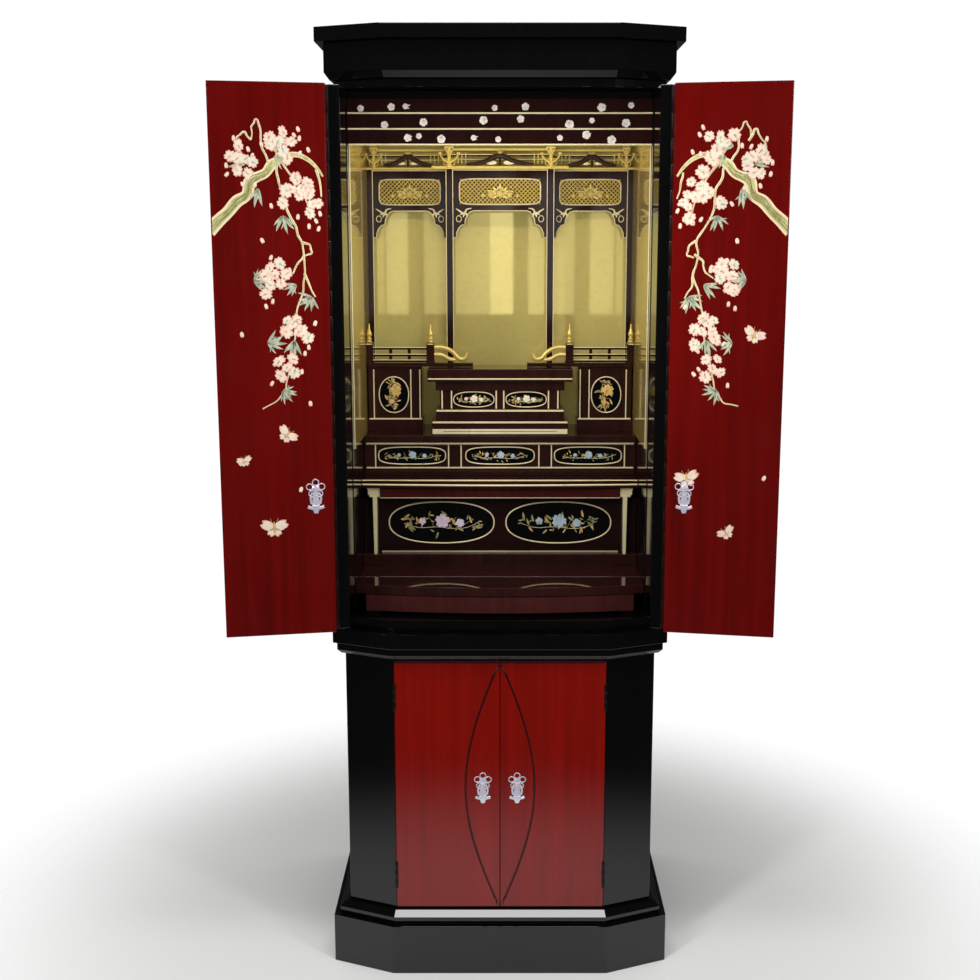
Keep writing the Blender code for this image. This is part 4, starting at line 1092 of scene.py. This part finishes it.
def buildHeader(label):
    plan = headerShape
    low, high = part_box(f"{label}_header")
    depth = low.y - doorPlane
    opening = high.z - plan["height"]
    x = (low.x, high.x)
    z = (opening + plan["windowRise"], opening + plan["windowRise"] + plan["windowTall"])
    inside = (x[0] + plan["windowInset"], x[1] - plan["windowInset"])
    leftEdge = cuspedPath(x[0], 1, opening, opening - plan["drop"])
    rightEdge = cuspedPath(x[1], -1, opening, opening - plan["drop"])
    edge = leftEdge + list(reversed(rightEdge))
    trims = [stroke(edge, 0.0022, 0.0028, smooth=False)]
    trims.append(bar(x, (high.z - 0.0022, high.z - 0.0006), (-0.0004, 0.0010), 0.0003))
    middle = ((inside[0] + inside[1]) / 2, (z[0] + z[1]) / 2)
    halfWide = (inside[1] - inside[0]) / 2
    halfTall = plan["windowTall"] / 2
    trims.append(stroke(ovalPath(*middle, halfWide, halfTall, 32, 0.28), 0.0026, 0.0034, closed=True))
    for u, sign in ((x[0], 1), (x[1], -1)):  # ring and curl in each bracket corner
        corner = (u, opening)
        ring = onSide(sign, plan["ringSpot"], corner)[0]
        trims.append(stroke(ovalPath(*ring, *plan["ring"], 10), 0.0018, 0.0024, closed=True))
        trims.append(stroke(onSide(sign, plan["curl"], corner), 0.0036, 0.003, widths=plan["curlWide"]))
        for heading in plan["leafTurns"]:
            turn = math.radians(heading if sign > 0 else 180 - heading)
            trims.append(stamp(leafSource, *onSide(sign, plan["leafSpot"], corner)[0], turn, 0.010, 0.0006))
    finishLines(label + "HeaderTrim", trims, depth)
    # a dark gilt sheet behind the ribs shows in the gaps of the openwork: painted shadow
    back = bar((inside[0] - 0.001, inside[1] + 0.001), (z[0] - 0.001, z[1] + 0.001), (-0.0062, -0.0048),
               0.0003)
    settle(label + "LatticeShadowGround", [back], faceAt(depth), "shadeGold")
    bars = []
    for lean in (1, -1):
        for line in slantLines(inside, z, plan["pitch"], lean):
            rib = stroke(line, plan["rib"], plan["rib"], smooth=False, sides=1)
            bars.append(moveBy(rib, raiseBy(plan["ribSink"] - 0.0006 * lean)))
    settle(label + "Lattice", bars, faceAt(depth), "carvedGold")
    flower, shade = [], []
    foot = middle[1] - 0.004
    for shift, size in plan["flowers"]:
        if abs(shift) > halfWide - plan["flowerEdge"]:
            continue
        for layer in range(3):
            turn = layer * 0.6 + shift * 20
            scale = size * (1 - 0.27 * layer)
            spot = (middle[0] + shift, foot - abs(shift) * 0.1)
            shade.append(stamp(blossomSource, *spot, turn, scale * 1.14, 0.0006 + 0.0009 * layer))
            flower.append(stamp(blossomSource, *spot, turn, scale, 0.0009 + 0.0009 * layer))
    for heading, reach in plan["flowerLeaves"]:
        turn = math.radians(heading)
        shade.append(stamp(leafSource, middle[0], foot, turn, reach * 1.07, 0.0002, 1.25))
        flower.append(stamp(leafSource, middle[0], foot, turn, reach, 0.0004, 0.9))
    settle(label + "LatticeFlower", flower, faceAt(depth), "brightGold")
    settle(label + "LatticeShade", shade, faceAt(depth), "shadeGold")


for label in ("left", "right", "centre"):
    buildHeader(label)


def buildPillarLines():
    plan = {"out": 0.001, "in": 0.0003, "deep": 0.003, "proud": 0.0005,
            "fronts": (("outer", 0.374), ("inner", 0.344))}  # the inner pair stands further forward
    for place, depth in plan["fronts"]:
        parts = []
        for side in ("left", "right"):
            low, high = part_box(f"{side}_{place}_pillar")
            for x in ((low.x - plan["out"], low.x + plan["in"]), (high.x - plan["in"], high.x + plan["out"])):
                parts.append(bar(x, (low.z, high.z), (-plan["deep"], plan["proud"]), 0.0002))
        finishLines(place + "PillarLines", parts, depth)


def modelCluster():
    # one bracket cluster about its foot: a stem whose arms flare out to both sides, and two rings below
    plan = {"tall": 0.0405, "arm": 0.0175, "ring": 0.0062, "ringSpot": (0.0062, 0.0115),
            "upper": [(0, 0.024), (0.004, 0.030), (0.0085, 0.0385)], "upperWide": [1.1, 0.9, 0.7],
            "lower": [(0, 0.008), (0.006, 0.013), (0.012, 0.017), (0.0175, 0.0262)],
            "lowerWide": [1.1, 1, 0.9, 0.6]}
    parts = [bar((-0.0032, 0.0032), (0, plan["tall"]), (-0.010, 0.0015), 0.0008)]
    parts.append(bar((-0.0085, 0.0085), (plan["tall"] - 0.0035, plan["tall"]), (-0.008, 0.003), 0.0008))
    for sign in (-1, 1):
        parts.append(stroke(onSide(sign, plan["upper"]), 0.0046, 0.006, widths=plan["upperWide"]))
        parts.append(stroke(onSide(sign, plan["lower"]), 0.0048, 0.006, widths=plan["lowerWide"]))
        block = (sign * plan["arm"] - 0.003, sign * plan["arm"] + 0.003)
        parts.append(bar(block, (0.0255, 0.0295), (-0.006, 0.003)))
        ring = ovalPath(*onSide(sign, [plan["ringSpot"]])[0], plan["ring"] * 0.7, plan["ring"], 10)
        parts.append(stroke(ring, 0.0022, 0.004, closed=True))
    return joinAll("clusterSource", parts)


def buildBracketFrieze():
    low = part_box("bracket_frieze")[0]
    base = low.z
    centreFront = low.y - doorPlane
    plan = {"side": centreFront + 0.030, "centre": centreFront, "pillar": 0.097, "overhang": 0.131,
            "corner": 0.103, "edge": 0.2595, "endPillar": 0.2437, "rail": 0.0262, "lintel": 0.0055,
            "bay": 0.1775, "bayHalf": 0.075, "endPillarShare": 0.82,
            "arch": [(-0.62, 0.0085), (-0.42, 0.0105), (-0.2, 0.0165), (-0.07, 0.0235),
                     (0.07, 0.0235), (0.2, 0.0165), (0.42, 0.0105), (0.62, 0.0085)],
            "archWide": [0.55, 0.9, 1.15, 1.2, 1.2, 1.15, 0.9, 0.55],
            "uprights": 3, "uprightPitch": 0.0075, "uprightHalf": 0.0009, "uprightFoot": 0.010,
            "strut": [(0, 0.006), (0, 0.0225)], "pendant": [(-0.006, 0.034), (0, 0.0285), (0.006, 0.034)],
            "pendantStem": [(0, 0.027), (0, 0.034)], "beam": (0.0345, 0.0385)}
    clusterSource = modelCluster()
    gold, wood, lines = [], [], []

    def lay(parts, piece, front):
        parts.append(moveBy(piece, faceAt(front)))

    def level(parts, x, z, front, deep):
        lay(parts, bar(x, (base + z[0], base + z[1]), (-deep, 0)), front)

    level(gold, (-plan["overhang"], plan["overhang"]), (0, plan["lintel"]), plan["centre"], 0.016)
    bays = [(0, plan["corner"], plan["centre"])]
    bays += [(sign * plan["bay"], plan["bayHalf"], plan["side"]) for sign in (-1, 1)]
    for middle, half, front in bays:
        x = (middle - half, middle + half)
        if middle:
            whole = sorted((math.copysign(plan["corner"], middle), math.copysign(plan["edge"], middle)))
            level(gold, whole, (0, 0.004), plan["side"], 0.012)
        level(wood, x, (plan["rail"] - 0.003, plan["rail"]), front + 0.003, 0.006)
        level(lines, x, (plan["rail"], plan["rail"] + 0.0014), front + 0.0025, 0.006)
        level(lines, x, (plan["rail"] - 0.0085, plan["rail"] - 0.0073), front + 0.0035, 0.005)
        for sign in (-1, 1):  # three little gilt uprights at each end of a bay
            for number in range(plan["uprights"]):
                u = middle + sign * (half * 0.78 - number * plan["uprightPitch"])
                z = (plan["uprightFoot"], plan["rail"] + 0.004)
                level(gold, (u - plan["uprightHalf"], u + plan["uprightHalf"]), z, front + 0.002, 0.004)
        path = [(middle + share * half, base + rise) for share, rise in plan["arch"]]
        lay(wood, stroke(path, 0.0088, 0.007, widths=plan["archWide"]), front)
        foot = (middle, base)
        lay(wood, stroke(onSide(1, plan["strut"], foot), 0.0036, 0.006, smooth=False), front)
        for sign in (-1, 1):
            eye = stamp(leafSource, middle + sign * half * 0.06, base + 0.0115, 0 if sign > 0 else math.pi,
                        half * 0.2, 0.0012, 1.1)
            lay(lines, eye, front)
        pendant = onSide(1, plan["pendant"], foot)
        lay(gold, stroke(pendant, 0.0034, 0.005, widths=[0.5, 1.3, 0.5]), front)
        lay(gold, stroke(onSide(1, plan["pendantStem"], foot), 0.003, 0.005, smooth=False), front)
        level(gold, x, plan["beam"], front + 0.004, 0.006)
    spots = [(sign * plan["pillar"], plan["centre"], 1.0) for sign in (-1, 1)]
    spots += [(sign * plan["endPillar"], plan["side"], plan["endPillarShare"]) for sign in (-1, 1)]
    for x, front, size in spots:
        cluster = stamp(clusterSource, x, base + 0.0015)
        cluster.matrix_world = cluster.matrix_world @ Matrix.Diagonal((size, 1, 1, 1))
        lay(gold, cluster, front)
    whole = settle("bracketFriezeGilt", gold, asModelled, "carvedGold")
    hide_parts("bracket_frieze")
    settle("bracketFriezeWood", wood, asModelled, "wine")
    settle("bracketFriezeLines", lines, asModelled, "lineGold")
    dropSource(clusterSource)


def modelFinial():
    # turned profile of a giboshi finial, for a height of one
    profile = [(0, 0), (0.155, 0), (0.165, 0.03), (0.155, 0.07), (0.115, 0.09), (0.118, 0.15),
               (0.15, 0.17), (0.15, 0.2), (0.1, 0.23), (0.092, 0.29), (0.125, 0.33), (0.148, 0.4),
               (0.142, 0.47), (0.11, 0.56), (0.07, 0.66), (0.048, 0.76), (0.05, 0.83), (0.034, 0.93), (0, 1)]
    curve = bpy.data.curves.new("finialProfile", "CURVE")
    curve.dimensions = "3D"
    spline = curve.splines.new("POLY")
    spline.points.add(len(profile) - 1)
    for point, (radius, height) in zip(spline.points, profile):
        point.co = (radius, 0, height, 1)
    pick(addObject("finialSource", curve))
    bpy.ops.object.convert(target="MESH")
    obj = bpy.context.object
    editMesh(obj, bpy.ops.mesh.spin, steps=24, angle=math.tau, center=(0, 0, 0), axis=(0, 0, 1))
    editMesh(obj, bpy.ops.mesh.remove_doubles, threshold=0.0005)
    return obj


def buildFinials():
    source = modelFinial()
    for side in ("left", "right"):
        for place in ("inner", "outer"):
            low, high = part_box(f"{side}_{place}_finial")
            tall = high.z - low.z
            spot = Matrix.Translation(((low.x + high.x) / 2, (low.y + high.y) / 2, low.z))
            grow = Matrix.Diagonal((tall * 0.95, tall * 0.95, tall, 1))
            finial = settle(side + place.capitalize() + "Giboshi", [duplicate(source)], spot @ grow,
                            "brightGold")
            roundShade(finial, 40)
            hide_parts(f"{side}_{place}_finial")
    dropSource(source)


def buildShelfPosts():
    plan = {"topHalf": 0.0042, "footHalf": 0.0028, "capHalf": 0.0145, "cap": 0.0185, "shift": 0.004,
            # drop below the top, height and share of the half width of each block of the capital
            "blocks": ((0, 0.0045, 1.0), (0.0046, 0.0095, 0.9), (0.0142, 0.004, 0.72))}
    for side, sign in sides:
        low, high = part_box(f"{side}_shelf_post")
        middle = (low.x + high.x) / 2
        deep = high.y - low.y
        capLow = high.z - plan["cap"]
        clearPick()
        bpy.ops.mesh.primitive_cube_add(size=1, location=(middle, low.y + deep / 2, (low.z + capLow) / 2))
        shaft = bpy.context.object
        shaft.scale = (2 * plan["topHalf"], deep, capLow - low.z + 0.001)
        fixInPlace(shaft)
        for vertex in shaft.data.vertices:
            if vertex.co.z < capLow - 0.005:
                vertex.co.x = middle + math.copysign(plan["footHalf"], vertex.co.x - middle)
        useModifier(shaft, "BEVEL", width=0.0009, segments=3)
        parts = [shaft]
        for drop, tall, half in plan["blocks"]:
            reach = plan["capHalf"] * half
            top = high.z - drop
            block = bar((middle - reach, middle + reach), (top - tall, top), (-deep, 0), 0.0009)
            parts.append(moveBy(block, faceAt(low.y - doorPlane)))
        inward = Matrix.Translation((-sign * plan["shift"], 0, 0))
        post = settle(side + "TaperedPost", parts, inward, "lineGold")
        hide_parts(f"{side}_shelf_post")


buildPillarLines()
buildBracketFrieze()
buildFinials()
buildShelfPosts()
print("screen carved")


# Slats under the top, with gilt lower edges and scattered blossoms

slatBlossoms = {
    "places": [(-0.236, 1), (-0.184, 1), (-0.16, 1), (-0.009, 1), (0.043, 1), (0.172, 1), (0.222, 1),
               (-0.196, 2), (-0.13, 2), (-0.028, 2), (0.035, 2), (0.118, 2), (0.156, 2), (0.214, 2),
               (-0.157, 3), (-0.138, 3), (-0.1, 3), (-0.045, 3), (-0.003, 3), (0.102, 3), (0.147, 3),
               (0.19, 3)],
    "size": 0.0084, "leafEvery": 3, "leafSize": 0.0075,
}


def buildSlatTrim():
    lines, flowers, rims = [], [], []
    rng = random.Random(7)
    for number in (1, 2, 3):
        low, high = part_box(f"slat_{number}")
        depth = low.y - doorPlane
        line = bar((low.x + 0.001, high.x - 0.001), (low.z - 0.0002, low.z + 0.0024), (-0.003, 0.0009))
        lines.append(moveBy(line, faceAt(depth)))
        for x, row in slatBlossoms["places"]:
            if row != number:
                continue
            size = slatBlossoms["size"] * rng.uniform(0.8, 1.3)
            height = (low.z + high.z) / 2 + rng.uniform(-0.006, 0.006)
            for group, grow, lift in ((flowers, 1, 0.0003), (rims, 1.14, 0.0001)):
                flower = stamp(blossomSource, x, height, rng.uniform(0, 6), size * grow, lift)
                group.append(moveBy(flower, faceAt(depth)))
            if len(flowers) % slatBlossoms["leafEvery"] == 0:
                for lean in (-0.5, 0.3):
                    reach = slatBlossoms["leafSize"] * rng.uniform(0.8, 1.1)
                    leaf = stamp(leafSource, x, height, lean, reach, 0.0001, 0.7)
                    rims.append(moveBy(leaf, faceAt(depth)))
    settle("slatGiltEdges", lines, asModelled, "lineGold")
    settle("slatBlossoms", flowers, asModelled, "slatPetal")
    settle("slatBlossomRims", rims, asModelled, "coolPetal")


def buildSideLinings():
    plan = {"thick": 0.0016, "front": 0.082, "length": 0.3265, "edgeFront": 0.0755, "edgeDeep": 0.006}
    z = (deckTop + 0.0004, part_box("gold_ceiling")[0].z - 0.0005)
    for side, sign in sides:
        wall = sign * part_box("gold_back")[1].x
        x = sorted((wall - sign * plan["thick"], wall))
        lining = bar(x, z, (-plan["length"], 0), 0.0003)
        # the side linings take the darker copy of the gold leaf: painted shade
        settle(side + "SideLining", [lining], faceAt(plan["front"]), "shadedSideGold")
        finishLines(side + "LiningEdge", [bar(x, z, (-plan["edgeDeep"], 0), 0.0004)], plan["edgeFront"])


buildSlatTrim()
buildSideLinings()
print("slats and linings done")


# Butt hinges with knuckles on the folding leaves and the cupboard doors

hingePlan = {
    "barrel": 0.0028,
    "canted": [(0.76, 0.06, 3), (1.12, 0.06, 3), (1.48, 0.06, 3)],
    "fold": [(1.1187, 0.9, 22)],
    "lower": [(0.18, 0.05, 3), (0.52, 0.05, 3)],
}


def buildHinge(name, joint, heights, body):
    parts = []
    spot = joint["pos_m"]
    for height, length, count in heights:
        piece = length / count
        for number in range(count):
            clearPick()
            z = height - length / 2 + (number + 0.5) * piece
            bpy.ops.mesh.primitive_cylinder_add(vertices=16, radius=hingePlan["barrel"], depth=piece - 0.0004,
                                                location=(spot[0], spot[1], z))
            knuckle = bpy.context.object
            useModifier(knuckle, "BEVEL", width=0.0004, segments=2, limit_method="ANGLE")
            roundShade(knuckle, 40)
            fixInPlace(knuckle)
            parts.append(knuckle)
        clearPick()
        bpy.ops.mesh.primitive_uv_sphere_add(segments=12, ring_count=6, radius=hingePlan["barrel"] * 0.8,
                                             location=(spot[0], spot[1], height + length / 2))
        cap = bpy.context.object
        fixInPlace(cap)
        parts.append(cap)
    settle(name, parts, asModelled, "hingeDark", body)


for joint in frame["joints"]:
    if joint["type"] != "hinge":
        continue
    words = joint["name"].split("_")
    buildHinge(words[0] + words[1].capitalize() + "Hinge", joint, hingePlan[words[1]], joint["child"])
dropSource(petalSource, blossomSource, leafSource, heartSource)
print("hinges set")


# Floor, light and camera

studio = {
    "cameraBack": 2.325, "cameraHeight": 1.329, "cameraPitch": 10.5, "lensPixels": 1360, "frame": 980,
    "shift": -0.0102, "floorInner": 0.5, "floorOuter": 1.35, "ambient": 0.42, "roomGlow": 0.03,
    "bands": [  # middle, width and power of the tall strips that the gold panel mirrors
        ("farLeft", -0.248, 0.075, 0.06), ("left", -0.099, 0.15, 0.09), ("middle", 0.0035, 0.053, 0.075),
        ("right", 0.118, 0.106, 0.085), ("farRight", 0.246, 0.08, 0.062),
    ],
    "bandHeight": 0.304, "bandMiddle": 1.308, "bandOut": 0.015,
    "softboxes": [  # name, place, target, size and power
        ("keySoftbox", (-2.0, -2.9, 2.7), (0, 0, 1.0), (0.45, 1.8), 42),
        ("fillSoftbox", (2.3, -2.6, 2.2), (0, 0, 0.9), (0.35, 1.6), 24),
        ("topSoftbox", (0, -1.3, 3.3), (0, 0, 1.2), (1.8, 0.5), 30),
        ("leftRearStrip", (-2.6, 1.5, 1.5), (0, 0.1, 1.0), (0.35, 2.0), 5),
        ("rightRearStrip", (2.6, 1.5, 1.5), (0, 0.1, 1.0), (0.35, 2.0), 5),
    ],
    "altarLamps": [  # the same, and the colour: they aren't mirrored by the lacquer and the gold
        ("altarGlow", (0.03, doorPlane - 0.36, 1.27), (0, 0.2, 1.27), (0.22, 0.30), 1.6, (1, 0.97, 0.9)),
        ("altarLamp", (0, doorPlane + 0.085, 1.496), (0, doorPlane + 0.4, 1.2), (0.46, 0.016), 0.55,
         (1, 0.95, 0.86)),
        ("ceilingGlow", (0, doorPlane + 0.2, 1.38), (0, doorPlane + 0.22, 1.57), (0.34, 0.1), 0.22,
         (1, 0.95, 0.86)),
    ],
}


def buildFloor():
    clearPick()
    bpy.ops.mesh.primitive_circle_add(vertices=96, radius=studio["floorOuter"] * 1.02, fill_type="NGON")
    floor = bpy.context.object
    floor.name = "studioFloor"
    material, tree, shader = newMaterial("paleFloor")
    shader.inputs["Base Color"].default_value = (0.86, 0.86, 0.85, 1)
    shader.inputs["Roughness"].default_value = 0.8
    place = tree.nodes.new("ShaderNodeTexCoord")
    reach = tree.nodes.new("ShaderNodeVectorMath")
    reach.operation = "LENGTH"
    fade = tree.nodes.new("ShaderNodeMapRange")
    fade.interpolation_type = "SMOOTHERSTEP"
    fade.inputs["From Min"].default_value = studio["floorInner"]
    fade.inputs["From Max"].default_value = studio["floorOuter"]
    fade.inputs["To Min"].default_value = 1
    fade.inputs["To Max"].default_value = 0
    tree.links.new(place.outputs["Object"], reach.inputs[0])
    tree.links.new(reach.outputs["Value"], fade.inputs["Value"])
    tree.links.new(fade.outputs["Result"], shader.inputs["Alpha"])
    floor.data.materials.append(material)


def areaLight(name, place, target, size, power, colour=(1, 1, 1), mirrored=True):
    light = bpy.data.lights.new(name, "AREA")
    light.shape = "RECTANGLE"
    light.size, light.size_y = size
    light.energy = power
    light.color = colour
    obj = addObject(name, light)
    obj.location = place
    obj.rotation_euler = (Vector(target) - Vector(place)).to_track_quat("-Z", "Y").to_euler()
    obj.visible_camera = False
    obj.visible_glossy = mirrored


def buildLights():
    world = bpy.data.worlds.new("studioWorld")
    bpy.context.scene.world = world
    world.use_nodes = True
    tree = world.node_tree
    background = tree.nodes["Background"]
    rays = tree.nodes.new("ShaderNodeLightPath")
    seen = mathNode(tree, "MULTIPLY_ADD", rays.outputs["Is Camera Ray"], 1.0, studio["roomGlow"])
    soft = mathNode(tree, "MULTIPLY_ADD", rays.outputs["Is Diffuse Ray"], studio["ambient"], seen)
    tree.links.new(soft, background.inputs["Strength"])
    background.inputs["Color"].default_value = (1, 1, 1, 1)
    for values in studio["softboxes"]:
        areaLight(*values)
    for label, x, wide, power in studio["bands"]:
        place = (x, doorPlane - studio["bandOut"], studio["bandMiddle"])
        areaLight(label + "BandLight", place, (x, 0.2, place[2]), (wide, studio["bandHeight"]), power)
    for values in studio["altarLamps"]:
        areaLight(*values, mirrored=False)


def buildCamera():
    data = bpy.data.cameras.new("photoCamera")
    data.sensor_fit = "HORIZONTAL"
    data.sensor_width = 36
    data.lens = 36 * studio["lensPixels"] / studio["frame"]
    data.shift_x = studio["shift"]
    camera = addObject("photoCamera", data)
    camera.location = (0, doorPlane - studio["cameraBack"], studio["cameraHeight"])
    camera.rotation_euler = (math.radians(90 - studio["cameraPitch"]), 0, 0)
    bpy.context.scene.camera = camera


buildFloor()
buildLights()
buildCamera()
bpy.context.scene.view_settings.view_transform = "Standard"
print("studio ready")
